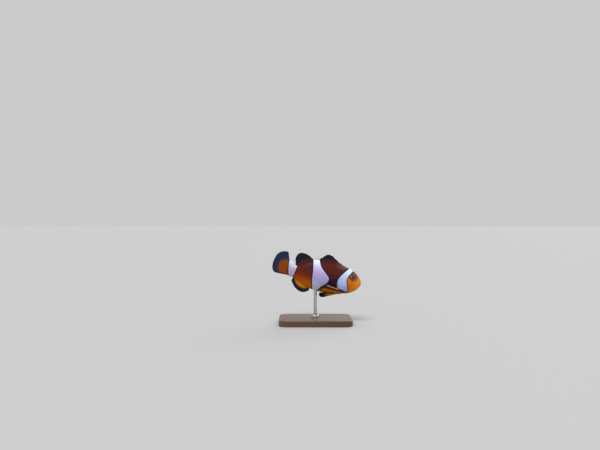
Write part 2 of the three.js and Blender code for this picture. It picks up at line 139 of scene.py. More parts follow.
def plate_edge(x, height, front, drop, back):
    """A thin plate's edge at zero: it rises to height over front, falls and eases out over back."""
    ramp = height * np.exp(np.minimum(x, 0) / front)
    fall = -drop * np.exp(-np.maximum(x - EDGE_END, 0) / back)
    return lerp(ramp, fall, rise(x, EDGE_START, EDGE_END))


# ---- The body's form ----
def quarter(t):
    """A quarter of a circle: 0 at 0, then steeply up to 1 at 1 and beyond."""
    return np.sqrt(np.maximum(1 - (1 - np.minimum(t, 1)) ** 2, 0))


def section(share):
    """Back, belly, half width and widest level in millimetres, at a share of the length."""
    rounding = quarter(share / NOSE_ROUNDING) * quarter((BODY_END - share) / END_ROUNDING)
    scale = rounding * TOTAL_LENGTH
    back, belly, half = (through(STATIONS, share, column) * scale for column in (1, 2, 3))
    return back, belly, half, back - WIDEST_LEVEL * (back + belly)


def half_width_at(share, height):
    back, belly, half, level = section(share)
    reach = np.where(height > level, back - level, belly + level)
    up = np.minimum(np.abs(height - level) / reach, 1)
    return half * np.sqrt(1 - up * up) ** BACK_PINCH


def flank_point(share, turn):
    """A point of the smooth body. turn goes from the left side over the back."""
    back, belly, half, level = section(share)
    left, up = np.cos(turn), np.sin(turn)
    reach = np.where(up > 0, back - level, belly + level)
    across = half * left * (left * left + KEEL_SOFTENING) ** ((BACK_PINCH - 1) / 2)
    return np.stack([-share * TOTAL_LENGTH, across, level + reach * up], -1)


def unit(vectors):
    return vectors / np.maximum(np.linalg.norm(vectors, axis=-1, keepdims=True), 1e-9)


def flank_outward(share, turn):
    """The direction straight out of the body."""
    step = np.clip(np.minimum(share, BODY_END - share) * 0.3, 1e-6, 0.001)
    lengthwise = flank_point(share + step, turn) - flank_point(share - step, turn)
    around = flank_point(share, turn + 0.01) - flank_point(share, turn - 0.01)
    outward = unit(np.cross(lengthwise, around))
    outward[share < 1e-6] = (1, 0, 0)
    outward[share > BODY_END - 1e-6] = (-1, 0, 0)
    return outward


# ---- Relief of the head ----
def eye_axes():
    """The left eye's centre, the way it looks, and two directions across its widest ring."""
    level = math.cos(EYE_TILT)
    look = np.array([math.sin(EYE_TURN) * level, math.cos(EYE_TURN) * level, math.sin(EYE_TILT)])
    across = half_width_at(np.array([EYE_BEHIND / TOTAL_LENGTH]), np.array([EYE_HEIGHT]))[0]
    ahead = unit(np.cross(look, (0.0, 0.0, 1.0)))
    return np.array([-EYE_BEHIND, across, EYE_HEIGHT]) - EYE_SINK * look, look, ahead, np.cross(ahead, look)


EYE_CENTRE, EYE_LOOK, EYE_AHEAD, EYE_UP = eye_axes()


def from_eye(points):
    """Distance from the eye's rim, outwards from its axis. Both sides of the fish are alike."""
    offset = np.stack([points[..., 0], np.abs(points[..., 1]), points[..., 2]], -1) - EYE_CENTRE
    along = offset @ EYE_LOOK
    return np.linalg.norm(offset - along[..., None] * EYE_LOOK, axis=-1) - EYE_RADIUS


def gill_polar(behind, height):
    """Distance and angle from the centre of the gill arcs."""
    return np.hypot(behind, height - GILL_HEIGHT), np.arctan2(height - GILL_HEIGHT, behind)


def from_mouth(behind, height):
    """Height over the mouth's cleft, and how far this place is along the mouth."""
    cleft = MOUTH_HEIGHT - MOUTH_DROP * (behind.clip(0) / MOUTH_CORNER) ** 1.3
    return height - cleft, 1 - rise(behind, MOUTH_CORNER - 0.7, MOUTH_CORNER + 0.4)


def over_keel(share, height):
    """0 along the belly's middle line and 1 from 1.8 mm above it."""
    return rise(height + section(share)[1], 0.3, 1.8)


# Soft swellings of the head: distance behind the snout, height, how far they stand out, width.
SWELLINGS = (
    (1.7, -3.3, 0.32, 1.5),  # chin
    (1.2, 1.9, 0.14, 1.3),  # tip of the snout
    (11.0, -3.2, 0.22, 3.4),  # cheek muscle
    (19.4, -10.5, 0.3, 2.0),  # shoulder
)
CHEEK_TOP, COVER_TOP = (-0.02, 0.34), (-0.2, 0.26)  # angles over which the plates' edges fade out
COVER_SEAM = -0.52  # angle of the line where the two bones of the gill cover meet


def head_relief(points):
    """How far the skin stands out of the smooth body.

    A fold or groove is its height times a mound of its width, about the line that it follows.
    """
    behind, height = -points[..., 0], points[..., 2]
    radius, angle = gill_polar(behind, height)
    off_eye = from_eye(points)
    over_cleft, in_mouth = from_mouth(behind, height)
    keel = over_keel(behind / TOTAL_LENGTH, height)

    orbit = 0.42 * mound(off_eye - 0.32, 0.42) + 0.12 * mound(off_eye - 0.9, 0.8)
    socket = -1.3 * (1 - rise(off_eye, -0.5, 0.02))
    eye_fold = -0.12 * mound(off_eye - 1.6, 0.35) * np.where(height < EYE_HEIGHT, 1, 0.4)

    lips = 0.36 * mound(over_cleft - 0.52, 0.42) + 0.42 * mound(over_cleft + 0.6, 0.48)
    cleft = -lerp(0.1, 0.34, rise(behind, 0.15, 1.1)) * mound(over_cleft, 0.12)
    lip_groove = -0.12 * mound(np.abs(over_cleft) - 1.4, 0.28)
    mouth = (lips + cleft + lip_groove) * in_mouth
    jaw_span = rise(behind, 2.8, 4.2) * (1 - rise(behind, 6.6, 8.0))
    jaw_line = -0.12 * mound(height + 2.6 + 0.42 * (behind - 3.4), 0.26) * jaw_span

    from_nostril = np.hypot(behind - NOSTRIL[0], height - NOSTRIL[1])
    nostril = 0.16 * mound(from_nostril - 0.42, 0.2) - 0.4 * mound(from_nostril, 0.28)

    cheek = plate_edge(radius - CHEEK_RADIUS, 0.13, 1.6, 0.18, 0.9) * (1 - rise(angle, *CHEEK_TOP)) * keel
    seam_span = rise(angle, -0.75, -0.62) * (1 - rise(angle, -0.36, -0.26)) * rise(radius, 15.6, 16.6)
    off_seam = (angle - COVER_SEAM) * radius - 0.05 * (radius - 16) ** 2
    cover = plate_edge(radius - GILL_RADIUS, 0.1, 1.5, 0.42, 0.6) - 0.12 * mound(off_seam, 0.26) * seam_span
    cover = cover * (1 - rise(angle, *COVER_TOP)) * keel
    throat_span = (1 - rise(angle, -0.78, -0.62)) * keel
    folds = -0.12 * (mound(radius - 17.4, 0.3) + mound(radius - 15.8, 0.3)) * throat_span
    relief = orbit + socket + eye_fold + mouth + jaw_line + nostril + cheek + cover + folds
    for at, level, out, width in SWELLINGS:
        relief = relief + out * mound(np.hypot(behind - at, height - level), width)
    return relief


def skin_point(share, turn, lift=0.0):
    """A point of the skin under the coat, with the head's relief, or at a height over it."""
    flank = flank_point(share, turn)
    lift = head_relief(flank) + lift - COAT_DEPTH
    return flank + flank_outward(share, turn) * lift[..., None]


# ---- Pose ----
def turned(vector, axis, angle):
    """Each vector turned about its own axis, which is at right angles to it."""
    return vector * np.cos(angle)[..., None] + np.cross(axis, vector) * np.sin(angle)[..., None]


def spine_directions(share):
    """Directions at a share of the length: towards the tail, to the left and to the back."""
    q = np.clip((share - SWEEP_START) / (1 - SWEEP_START), 0, 1)
    sweep = TAIL_SWEEP * q * (2 - q)
    q = np.clip((share - LIFT_START) / (1 - LIFT_START), 0, 1)
    lift = TAIL_LIFT * q * (2 - q)
    each = np.ones_like(share)[..., None]
    tailward = each * (-math.cos(HEAD_DOWN), 0, math.sin(HEAD_DOWN))
    back = each * (math.sin(HEAD_DOWN), 0, math.cos(HEAD_DOWN))
    left = each * (0.0, 1.0, 0.0)
    tailward, left = turned(tailward, back, -sweep), turned(left, back, -sweep)
    return turned(tailward, left, lift), left, turned(back, left, lift)


SPINE_MARKS = np.linspace(0, 1.2, 241)


def spine_line():
    """The spine's course, summed from short straight steps."""
    middles = (SPINE_MARKS[:-1] + SPINE_MARKS[1:]) / 2
    steps = spine_directions(middles)[0] * np.diff(SPINE_MARKS)[:, None] * TOTAL_LENGTH
    return np.vstack([np.zeros(3), np.cumsum(steps, 0)])


SPINE = spine_line()


def spine_point(share):
    """A point of the spine. Ahead of the snout the line goes straight on."""
    place = np.stack([np.interp(share, SPINE_MARKS, SPINE[:, k]) for k in range(3)], -1)
    ahead = np.minimum(share, 0)[..., None] * TOTAL_LENGTH
    return place + spine_directions(np.zeros(1))[0] * ahead


def posed(points):
    """Fish space to the scene: metres, with the belly on the rod."""
    rod = np.array([ROD_STATION])
    belly = spine_directions(rod)[2][0] * section(rod)[1]
    shift = belly - spine_point(rod)[0] + (0, 0, BELLY_HEIGHT)
    share = -points[..., 0] / TOTAL_LENGTH
    tailward, left, back = spine_directions(share)
    at = spine_point(share) + shift + left * points[..., 1:2] + back * points[..., 2:3]
    return at * METRE


# ---- Markings ----
# Edges of the white bars, from the belly up: height, then share from the snout, front and rear.
HEAD_BAR = (
    (-0.125, 0.126, 0.131),
    (-0.113, 0.128, 0.172),
    (-0.1, 0.131, 0.232),
    (-0.079, 0.138, 0.251),
    (-0.029, 0.156, 0.257),
    (0.016, 0.164, 0.243),
    (0.055, 0.153, 0.219),
    (0.105, 0.117, 0.179),
    (0.16, 0.07, 0.13),
)
MIDDLE_BAR = (
    (-0.2, 0.462, 0.492),
    (-0.128, 0.415, 0.509),
    (-0.077, 0.366, 0.519),
    (-0.02, 0.353, 0.526),
    (0.027, 0.401, 0.531),
    (0.072, 0.452, 0.54),
    (0.141, 0.488, 0.554),
    (0.2, 0.505, 0.57),
)
TAIL_BAR = (
    (-0.13, 0.738, 0.757),
    (-0.09, 0.724, 0.772),
    (-0.03, 0.711, 0.793),
    (0.03, 0.708, 0.816),
    (0.09, 0.712, 0.832),
)
HEAD_BAR_FLOOR = -0.118  # the head's bar stops at this height, over the throat


def bar_edges(edges, height):
    """The front and the rear edge of a bar at a height."""
    height = np.clip(height, edges[0][0], edges[-1][0])
    return through(edges, height, 1), through(edges, height, 2)


def bar_depth(share, height, edges):
    """How far a place lies inside a bar, in millimetres. Outside it is negative."""

    def inside(level):
        front, rear = bar_edges(edges, level)
        return np.minimum(share - front, rear - share)

    step = 0.004
    lean = (inside(height + step) - inside(height - step)) / (2 * step)
    return inside(height) / np.sqrt(1 + lean * lean) * TOTAL_LENGTH


def markings(points):
    """Per place: share, height, depth in a white bar; then face, shadow and nothing."""
    share, height = -points[:, 0] / TOTAL_LENGTH, points[:, 2] / TOTAL_LENGTH
    behind, level = share * TOTAL_LENGTH, points[:, 2]
    back, belly = section(share)[:2]
    head_bar = np.minimum(bar_depth(share, height, HEAD_BAR), (height - HEAD_BAR_FLOOR) * TOTAL_LENGTH)
    # The tail's bar keeps to the body, but spills over the edge of the stalk behind the fins.
    on_body = np.minimum(back - level, level + belly) + lerp(-0.35, 1.5, rise(share, 0.747, 0.77))
    tail_bar = np.minimum(bar_depth(share, height, TAIL_BAR), on_body)
    bars = np.maximum(bar_depth(share, height, MIDDLE_BAR), np.maximum(tail_bar, head_bar))
    front, rear = bar_edges(HEAD_BAR, height)
    face = ((front + rear) / 2 - share) * TOTAL_LENGTH

    radius, angle = gill_polar(behind, level)
    gill_span = (1 - rise(angle, -0.25, 0.16)) * over_keel(share, level)
    from_pectoral = np.hypot(share - PECTORAL_AT, height - PECTORAL_LEVEL) * TOTAL_LENGTH
    gill = mound(radius - GILL_RADIUS - 0.3, 0.35) * gill_span * rise(from_pectoral, 2.2, 4.2)
    over_cleft, in_mouth = from_mouth(behind, level)
    nostril = mound(np.hypot(behind - NOSTRIL[0], level - NOSTRIL[1]), 0.34)
    round_eye = mound(from_eye(points), 0.24)
    shadow = 0.8 * gill + 0.9 * mound(over_cleft, 0.2) * in_mouth + nostril + 0.8 * round_eye
    return np.stack([share, height, bars], 1), np.stack([face, shadow.clip(0, 1), 0 * share], 1)


# ---- Fins ----
# A fin is a sheet between its root line and its margin: root(t) is a point of the root line,
# ray(t) the way from there to the margin, both for t from 0 to 1, and side its thickness's
# direction. split(t) counts the rays up to t, and forks(t) says whether they fork there. bands
# are the widths of its dark margin, at the tips of the rays and along its first and last ray,
# and rim is the width of the pale line along the tips and how pale it is. sink is how far the
# sheet starts under the skin.
DORSAL_FRONT, DORSAL_NOTCH, DORSAL_REAR = 0.185, 0.555, 0.725
SPINY_HEIGHT, SOFT_HEIGHT, NOTCH_HEIGHT = 0.073, 0.114, 0.009
ANAL_FRONT, ANAL_REAR, ANAL_HEIGHT = 0.525, 0.725, 0.084
CAUDAL_ROOT, CAUDAL_LENGTH, CAUDAL_HALF_ROOT, CAUDAL_SLANT = 0.8, 0.2, 0.072, 0.02
CAUDAL_SPREAD = math.radians(26)  # turn of the outer rays from the middle one
UPPER_FLARE, LOWER_FLARE = math.radians(26), math.radians(-6)  # further turn of the shortest rays
UPPER_ROUNDING, LOWER_ROUNDING = 0.47, 0.27  # how much shorter those rays are than the middle one
PECTORAL_AT, PECTORAL_LEVEL, PECTORAL_HALF_ROOT, PECTORAL_LENGTH = 0.228, -0.132, 0.023, 0.21
PECTORAL_SWEEP = {"right": math.radians(40), "left": math.radians(48)}
PECTORAL_TRAIL = math.radians(16)
PECTORAL_INSET = 0.9  # its root line lies this deep in the flank
PELVIC_AT, PELVIC_ACROSS, PELVIC_HALF_ROOT, PELVIC_LENGTH = 0.19, 0.016, 0.013, 0.26
PELVIC_INSET = 0.4  # its root line lies this far over the belly
FIN_SINK = 1.1
FIN_INSET = 0.12  # the margin stops this far inside the fish's outline
MEMBRANE, ROOT_THICKENING = 0.17, 0.1  # thickness of the skin between the rays, and more at its root
SPINE_RELIEF, RAY_RELIEF = 0.36, 0.24  # how much thicker a fin is on a spine, and on a soft ray
SPINE_SCALLOP, RAY_SCALLOP = 0.5, 0.2  # how far the margin dips between two spines, and two soft rays
FIN_SWELL = 0.6  # extra thickness where the fin leaves the body
RAY_CROWDING = 1.5  # the higher, the closer a fin's rows of faces lie towards its margin
CORNER = 9  # the higher, the tighter the fins' corners
BAND_JOINING = 4.5  # the higher, the squarer the dark bands meet at a fin's corners
NARROWEST_BAND = 0.12  # an edge whose band is narrower has none
ACROSS = np.array([0.0, 1.0, 0.0])
SIDES = (("right", -1), ("left", 1))
# The paired fins' lobes: how far along the rays they are centred, how far they reach, half
# their thickness, and the place of their patches on the bake's chart.
PECTORAL_LOBE, PELVIC_LOBE = (1.3, 1.6, 0.6, 0.3), (0.8, 1.7, 0.5, 0.4)
LOBE_HALF = 0.58  # half the length of a lobe's own root, as a share of the rays' root line


def steady(value):
    """The same value all along a fin."""
    return lambda t: value + 0 * t


def rounded(t, first, last):
    """A margin turns in towards the first and last ray, by these shares of the ray's length."""
    return 1 - first * (1 - t) ** CORNER - last * t ** CORNER


def dorsal_fin():
    notch = (DORSAL_NOTCH - DORSAL_FRONT) / (DORSAL_REAR - DORSAL_FRONT)

    def root(t):
        share = lerp(DORSAL_FRONT, DORSAL_REAR, t)
        return np.stack([-share * TOTAL_LENGTH, 0 * t, section(share)[0] - FIN_SINK], -1)

    def ray(t):
        spiny, soft = (t / notch).clip(0, 1), ((t - notch) / (1 - notch)).clip(0, 1)
        crest = rise(spiny, 0.02, 0.41) ** 1.8 * (1 - rise(spiny, 0.47, 0.86))
        lobe = np.sin(0.68 * math.pi * soft) * rounded(soft, 0, 0.34)
        low = NOTCH_HEIGHT * rise(spiny, -0.02, 0.12)
        height = low + (SPINY_HEIGHT - NOTCH_HEIGHT) * crest + (SOFT_HEIGHT - NOTCH_HEIGHT) * lobe
        height = height * TOTAL_LENGTH + FIN_SINK
        lean = np.where(t < notch, lerp(0.75, 0.33, spiny), lerp(0.33, 0.45, soft)) * height
        return np.stack([-lean, 0 * t, height], -1)

    def split(t):
        """Ten stiff spines in front of the notch, fifteen soft rays behind it."""
        return np.where(t < notch, t / notch * 10, 10 + (t - notch) / (1 - notch) * 15)

    def band(t):
        over_back = ray(t)[:, 2] - FIN_SINK
        dark = lerp(0.56, 0.62, rise(t, notch - 0.1, notch + 0.2)) * (1 - 0.55 * mound(t - notch, 0.07))
        return over_back * dark

    return {
        "name": "dorsal", "root": root, "ray": ray, "side": ACROSS, "split": split,
        "forks": lambda t: rise(t, notch, notch + 0.02), "bands": (band, 1.8, 2.4),
        "rim": (0.35, steady(0.2)), "along": 210, "out": 18,
    }


def anal_fin():
    def root(t):
        share = lerp(ANAL_FRONT, ANAL_REAR, t)
        return np.stack([-share * TOTAL_LENGTH, 0 * t, FIN_SINK - section(share)[1]], -1)

    def ray(t):
        lobe = np.sin(math.pi * (0.14 + 0.66 * t)) ** 0.8 * rounded(t, 0.3, 0.3)
        height = ANAL_HEIGHT * lobe * TOTAL_LENGTH + FIN_SINK
        return np.stack([-lerp(0.15, 0.2, t) * height, 0 * t, -height], -1)

    return {
        "name": "anal", "root": root, "ray": ray, "side": ACROSS, "split": lambda t: t * 14,
        "forks": lambda t: rise(t, 0.1, 0.2), "bands": (steady(3.0), 1.4, 2.0),
        "rim": (0.3, steady(0.16)), "along": 104, "out": 18,
    }


def caudal_fin():
    back, belly = section(np.array([CAUDAL_ROOT]))[:2]
    middle = (back[0] - belly[0]) / 2

    def root(t):
        up = 2 * t - 1
        along, level = CAUDAL_ROOT + up * CAUDAL_SLANT, up * CAUDAL_HALF_ROOT
        return np.stack([-along * TOTAL_LENGTH, 0 * t, middle + level * TOTAL_LENGTH], -1)

    def ray(t):
        up = 2 * t - 1
        angle = up * CAUDAL_SPREAD + up**5 * np.where(up > 0, UPPER_FLARE, LOWER_FLARE)
        rounding = np.where(up > 0, UPPER_ROUNDING, LOWER_ROUNDING) * np.abs(up) ** 3
        length = CAUDAL_LENGTH * (1 - rounding) * TOTAL_LENGTH
        return np.stack([-length * np.cos(angle), 0 * t, length * np.sin(angle)], -1)

    def band(t):
        return lerp(5.0, 7.2, rise(t, 0.5, 0.8))

    return {
        "name": "caudal", "root": root, "ray": ray, "side": ACROSS, "split": lambda t: t * 15,
        "forks": steady(1.0), "bands": (band, 1.1, 0.8), "rim": (1.0, lambda t: 0.36 * rise(t, 0.45, 0.75)),
        "along": 150, "out": 30,
    }


def paired_fin(name, sign, root_at, edge, lead, trail, length, shorten, rays, **more):
    """A fan of rays from a short root line, turned out from the body's side."""
    mirror = np.array([1, sign, 1])

    def root(t):
        return (np.array(root_at) + np.array(edge) * (2 * t - 1)[..., None]) * mirror

    def ray(t):
        ways = unit(lerp(np.array(lead), np.array(trail), t[..., None]))
        return ways * (length * shorten(t))[..., None] * mirror

    return {
        "name": name, "root": root, "ray": ray, "side": unit(np.cross(lead, trail)) * mirror,
        "split": lambda t: t * rays, "forks": lambda t: rise(t, 0.04, 0.1), "rim": (0.3, steady(0.0)),
        "swell": 0.4, **more,
    }


def pectoral_fin(side, sign):
    sweep, level = PECTORAL_SWEEP[side], PECTORAL_LEVEL * TOTAL_LENGTH
    across = float(half_width_at(np.array([PECTORAL_AT]), np.array([level]))[0]) - PECTORAL_INSET

    def band(t):
        return lerp(0.5, 1.4, rise(t, 0, 0.2)) * (1 - 0.5 * rise(t, 0.4, 0.8))

    return paired_fin(
        f"pectoral_{side}", sign,
        root_at=(-PECTORAL_AT * TOTAL_LENGTH, across, level),
        edge=np.array([-0.3, -0.6, -0.95]) * PECTORAL_HALF_ROOT * TOTAL_LENGTH,
        lead=(-math.cos(sweep), math.sin(sweep), 0.12),
        trail=(-math.cos(PECTORAL_TRAIL), math.sin(PECTORAL_TRAIL), -0.14),
        length=PECTORAL_LENGTH * TOTAL_LENGTH,
        shorten=lambda t: (0.93 + 0.07 * np.sin(math.pi * (t * 0.86 + 0.1))) * rounded(t, 0.08, 0.25),
        rays=16, bow=lambda r: 0.7 * r * r, bands=(band, 0, 0.6),
        along=120, out=24, sink=2.4, lay_from=0.0,
    )


def pelvic_fin(side, sign):
    belly = float(section(np.array([PELVIC_AT]))[1][0])
    return paired_fin(
        f"pelvic_{side}", sign,
        root_at=(-PELVIC_AT * TOTAL_LENGTH, PELVIC_ACROSS * TOTAL_LENGTH, PELVIC_INSET - belly),
        edge=np.array([-0.8, -0.3, -0.2]) * PELVIC_HALF_ROOT * TOTAL_LENGTH,
        lead=(-0.95, 0.12, -0.21),
        trail=(-0.93, 0.04, -0.46),
        length=PELVIC_LENGTH * TOTAL_LENGTH,
        shorten=lambda t: 1 - 0.2 * t - 0.1 * (2 * t - 1) ** 2,
        rays=6, bands=(steady(4.4), 0, 0.4),
        along=60, out=26, sink=1.6, lay_from=0.5,
    )


def fin_lobe(fin, sign, start, reach, thickness, chart_u):
    """The fleshy lobe that carries a paired fin's rays, as a flattened ball round their roots."""
    outer = np.array([0.0, 1.0])
    rays = unit(fin["ray"](outer))
    ends = fin["root"](outer) + start * rays
    down, out = unit(ends[1] - ends[0]), unit(rays.sum(0))
    half = LOBE_HALF * np.linalg.norm(ends[1] - ends[0])
    mesh = ball_mesh(f"{fin['name']}_lobe", 40, 24)
    x, y, z = (places_of(mesh)[:, k:k + 1] for k in range(3))
    across = unit(np.cross(down, out))
    set_places(mesh, ends.mean(0) + x * reach * out + y * thickness * across + z * half * down)
    face_out(mesh)
    x, z = x[:, 0], z[:, 0]
    chart_u = chart_u + LOBE_APART * sign
    corner_map(mesh, "OFBake", chart_u + LOBE_PATCH * x, LOBE_ROW + LOBE_PATCH * z)
    corner_map(mesh, "fin_paint", 0 * x, 0 * x)
    corner_map(mesh, "fin_lay", lerp(fin["lay_from"], 1.0, (0.5 + LOBE_HALF * z).clip(0, 1)), 0 * x)
    return mesh


def ray_ridge(t, r, fin):
    """1 on a fin ray and 0 on the skin between rays. Soft rays fork twice on their way out."""
    off = np.abs(fin["split"](t) % 1 - 0.5)
    forks = fin["forks"](t)
    off = np.abs(off - 0.22 * forks * rise(r, 0.35, 0.85))
    off = np.abs(off - 0.1 * forks * rise(r, 0.7, 1.0))
    return mound(off, lerp(0.13, 0.09, r))


def ridge_at_tip(t, fin):
    return mound(np.abs(fin["split"](t) % 1 - 0.5), 0.3)


def margin_paint(fin, t, r, length):
    """Over 1.5 on a fin's pale rim, 1.5 on its edge, 1 where its dark band ends, then down to 0."""
    ends = [fin["root"](np.full_like(r, e)) + fin["ray"](np.full_like(r, e)) * r[:, None] for e in (0, 1)]
    wide = np.linalg.norm(ends[1] - ends[0], axis=1)
    tip_band, first_band, last_band = fin["bands"]
    to_edges = np.stack([(1 - r) * length, t * wide, (1 - t) * wide])
    bands = np.stack([tip_band(t), first_band * rise(r, 0, 0.35), last_band * rise(r, 0, 0.35)])
    to_edges = np.where(bands > NARROWEST_BAND, to_edges, TOTAL_LENGTH)
    inward = (to_edges / bands.clip(NARROWEST_BAND)).clip(1e-3) ** -BAND_JOINING
    dark = (1.5 - 0.5 * inward.sum(0) ** (-1 / BAND_JOINING)).clip(0, 1.5)
    rim_width, paleness = fin["rim"]
    into_rim = (1 - to_edges[0] / rim_width).clip(0, 1) * (paleness(t) > 0)
    return np.where(into_rim > 0, 1.5 + paleness(t) * into_rim, dark)


def fin_sheet(fin):
    """The fin's mesh in fish space, as a thin closed slab with its rays in relief."""
    mesh = slab_mesh(fin["name"], fin["along"], fin["out"])
    flat = places_of(mesh)
    t = (flat[:, 0] + 0.5).clip(0, 1)
    r = 1 - (0.5 - flat[:, 1]).clip(0, 1) ** RAY_CROWDING
    face = np.sign(flat[:, 2] - flat[:, 2].mean())

    way, forked = fin["ray"](t), fin["forks"](t)
    length = np.linalg.norm(way, axis=1)
    ridge = ray_ridge(t, r, fin)
    between = lerp(SPINE_SCALLOP, RAY_SCALLOP, forked) * (1 - ridge_at_tip(t, fin))
    scallop = 1 - (FIN_INSET + between) / length
    place = fin["root"](t) + way * (r * scallop)[:, None]
    over_skin = (r * length - fin.get("sink", FIN_SINK)).clip(0)
    from_side = np.minimum(t, 1 - t)
    relief = lerp(SPINE_RELIEF, RAY_RELIEF, forked) * ridge * (1 - 0.55 * r) * rise(over_skin, 0, 1.6)
    swell = fin.get("swell", FIN_SWELL) * mound(over_skin, 1.3) * rise(from_side, -0.01, 0.05)
    thickness = MEMBRANE + ROOT_THICKENING * (1 - r) + relief + swell
    thickness = thickness * lerp(1.0, 0.55, mound(from_side, 0.01))
    bow = fin.get("bow", steady(0.0))(r)
    set_places(mesh, place + fin["side"] * (face * thickness / 2 + bow)[:, None])

    corner_map(mesh, "fin_paint", margin_paint(fin, t, r, length), ridge)
    corner_map(mesh, "fin_lay", lerp(fin.get("lay_from", 0.0), 1.0, t), r)
    fin_chart(mesh, fin, t, r, face)
    face_out(mesh)
    return mesh


# ---- Mesh tools ----
def read(items, name, kind=np.int32, width=1):
    """One property of many vertices, edges, corners or faces, as an array."""
    values = np.empty(len(items) * width, kind)
    items.foreach_get(name, values)
    return values


def places_of(mesh):
    return read(mesh.vertices, "co", np.float32, 3).reshape(-1, 3).astype(float)


def set_places(mesh, places):
    mesh.vertices.foreach_set("co", places.astype(np.float32).ravel())
    mesh.update()


def write_map(mesh, name, u, v):
    """A UV map from two values per corner."""
    layer = mesh.uv_layers.new(name=name)
    layer.uv.foreach_set("vector", np.stack([u, v], 1).astype(np.float32).ravel())


def corner_map(mesh, name, u, v):
    """A UV map from two values per vertex."""
    corners = read(mesh.loops, "vertex_index")
    write_map(mesh, name, u[corners], v[corners])


def paint(mesh, name, values):
    """An attribute of three values per vertex."""
    layer = mesh.attributes.new(name, "FLOAT_VECTOR", "POINT")
    layer.data.foreach_set("vector", values.astype(np.float32).ravel())


def mesh_of(shape, name):
    """Turns a bmesh into a mesh."""
    mesh = bpy.data.meshes.new(name)
    shape.to_mesh(mesh)
    shape.free()
    return mesh


def ball_mesh(name, around, rings):
    """A ball of radius 1, with its poles on Z."""
    ball = bmesh.new()
    bmesh.ops.create_uvsphere(ball, u_segments=around, v_segments=rings, radius=1.0)
    return mesh_of(ball, name)


def slab_mesh(name, columns, rows):
    """A closed slab of side and thickness 1, with a grid of faces on top and underneath."""
    slab = bmesh.new()
    bmesh.ops.create_grid(slab, x_segments=columns, y_segments=rows, size=0.5)
    bmesh.ops.solidify(slab, geom=slab.faces[:], thickness=1.0)
    return mesh_of(slab, name)


def face_out(mesh):
    """Points a closed mesh's faces outwards."""
    shape = bmesh.new()
    shape.from_mesh(mesh)
    bmesh.ops.recalc_face_normals(shape, faces=shape.faces[:])
    shape.to_mesh(mesh)
    shape.free()


def new_piece(name, mesh, materials, smooth_to=180):
    """An object at the origin, smooth apart from edges sharper than smooth_to degrees."""
    for material in materials:
        mesh.materials.append(material)
    mesh.polygons.foreach_set("use_smooth", np.ones(len(mesh.polygons), bool))
    if smooth_to < 180:
        mesh.set_sharp_from_angle(angle=math.radians(smooth_to))
    piece = bpy.data.objects.new(name, mesh)
    bpy.context.scene.collection.objects.link(piece)
    return piece


def fit_in(piece, slot, *nodes):
    """Gives a piece its body and hides the CAD nodes that it stands for. Its finish, slot, is not used."""
    if nodes:
        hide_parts(*nodes)
    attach(piece, "root")


# ---- The bake's chart of the skin ----
CHART_EDGE = 0.004  # margin round the body's chart
BODY_TOP = 0.64  # the body's chart fills the map up to here
DORSAL_WIDTH, DORSAL_CHART_HEIGHT = 0.485, 0.09
CELL_WIDTH, CELL_HEIGHT, CELL_FLOOR = 0.067, 0.225, 0.76
FIN_EDGE = 0.006
CHART_RIM = 0.004  # how far a fin's thin rim is laid outside its chart
CELLS = {
    "anal": 0, "caudal": 2, "pectoral_right": 4, "pectoral_left": 6, "pelvic_right": 8, "pelvic_left": 10,
}
# The fins' lobes are small patches along the map's top, each side's this far from their middle.
LOBE_ROW, LOBE_PATCH, LOBE_APART = 0.9945, 0.003, 0.02


def body_chart(mesh, share, turn):
    """Lays the body out by its length and its turn, cut along the belly."""
    corners = read(mesh.loops, "vertex_index")
    count, first = read(mesh.polygons, "loop_total"), read(mesh.polygons, "loop_start")
    around = ((turn / (2 * math.pi) + 0.25) % 1)[corners]
    pole = ((share < 1e-6) | (share > BODY_END - 1e-6))[corners]
    around[pole] = 0
    high = np.repeat(np.maximum.reduceat(around, first), count)
    low = np.repeat(np.minimum.reduceat(np.where(pole, 9, around), first), count)
    around = np.where(~pole & (high - low > 0.5) & (around < 0.5), around + 1, around)
    sums = np.repeat(np.add.reduceat(around, first), count)
    around = np.where(pole, sums / 2, around).clip(0, 1)
    along = share[corners] / BODY_END
    u = CHART_EDGE + (1 - 2 * CHART_EDGE) * along
    write_map(mesh, "OFBake", u, CHART_EDGE + (BODY_TOP - 3 * CHART_EDGE) * around)


def fin_chart(mesh, fin, t, r, face):
    """Lays a fin's two sides out in cells of their own, with its rim just outside the first."""
    corners = read(mesh.loops, "vertex_index")
    count, first = read(mesh.polygons, "loop_total"), read(mesh.polygons, "loop_start")
    t, r, face = t[corners], r[corners], face[corners]
    rim = np.repeat(np.maximum.reduceat(face, first) != np.minimum.reduceat(face, first), count)

    def on_edge(value, at):
        return np.repeat(np.maximum.reduceat(np.abs(value - at), first) < 1e-6, count)

    second = (face > 0) & ~rim
    push = np.where(rim & (face > 0), CHART_RIM, 0.0)
    t_push = push * (on_edge(t, 1) * 1.0 - on_edge(t, 0))
    r_push = push * (on_edge(r, 1) * 1.0 - on_edge(r, 0))
    if fin["name"] == "dorsal":
        u = FIN_EDGE + DORSAL_WIDTH * t + t_push + 0.5 * second
        v = BODY_TOP + 2 * FIN_EDGE + DORSAL_CHART_HEIGHT * r + r_push
    else:
        u = FIN_EDGE + (CELLS[fin["name"]] + second) / (2 * len(CELLS)) + CELL_WIDTH * r + r_push
        v = CELL_FLOOR + CELL_HEIGHT * t + t_push
    write_map(mesh, "OFBake", u, v)


# ---- The skin ----
RINGS, STRIPS = 240, 228
# Share of the rings used up to a share of the length: they lie closer on the head.
RING_SHARES = (
    (0.0, 0.0), (0.04, 0.0022), (0.1, 0.012), (0.2, 0.043), (0.5, 0.2), (0.62, 0.275), (0.8, 0.5),
    (1.0, BODY_END),
)


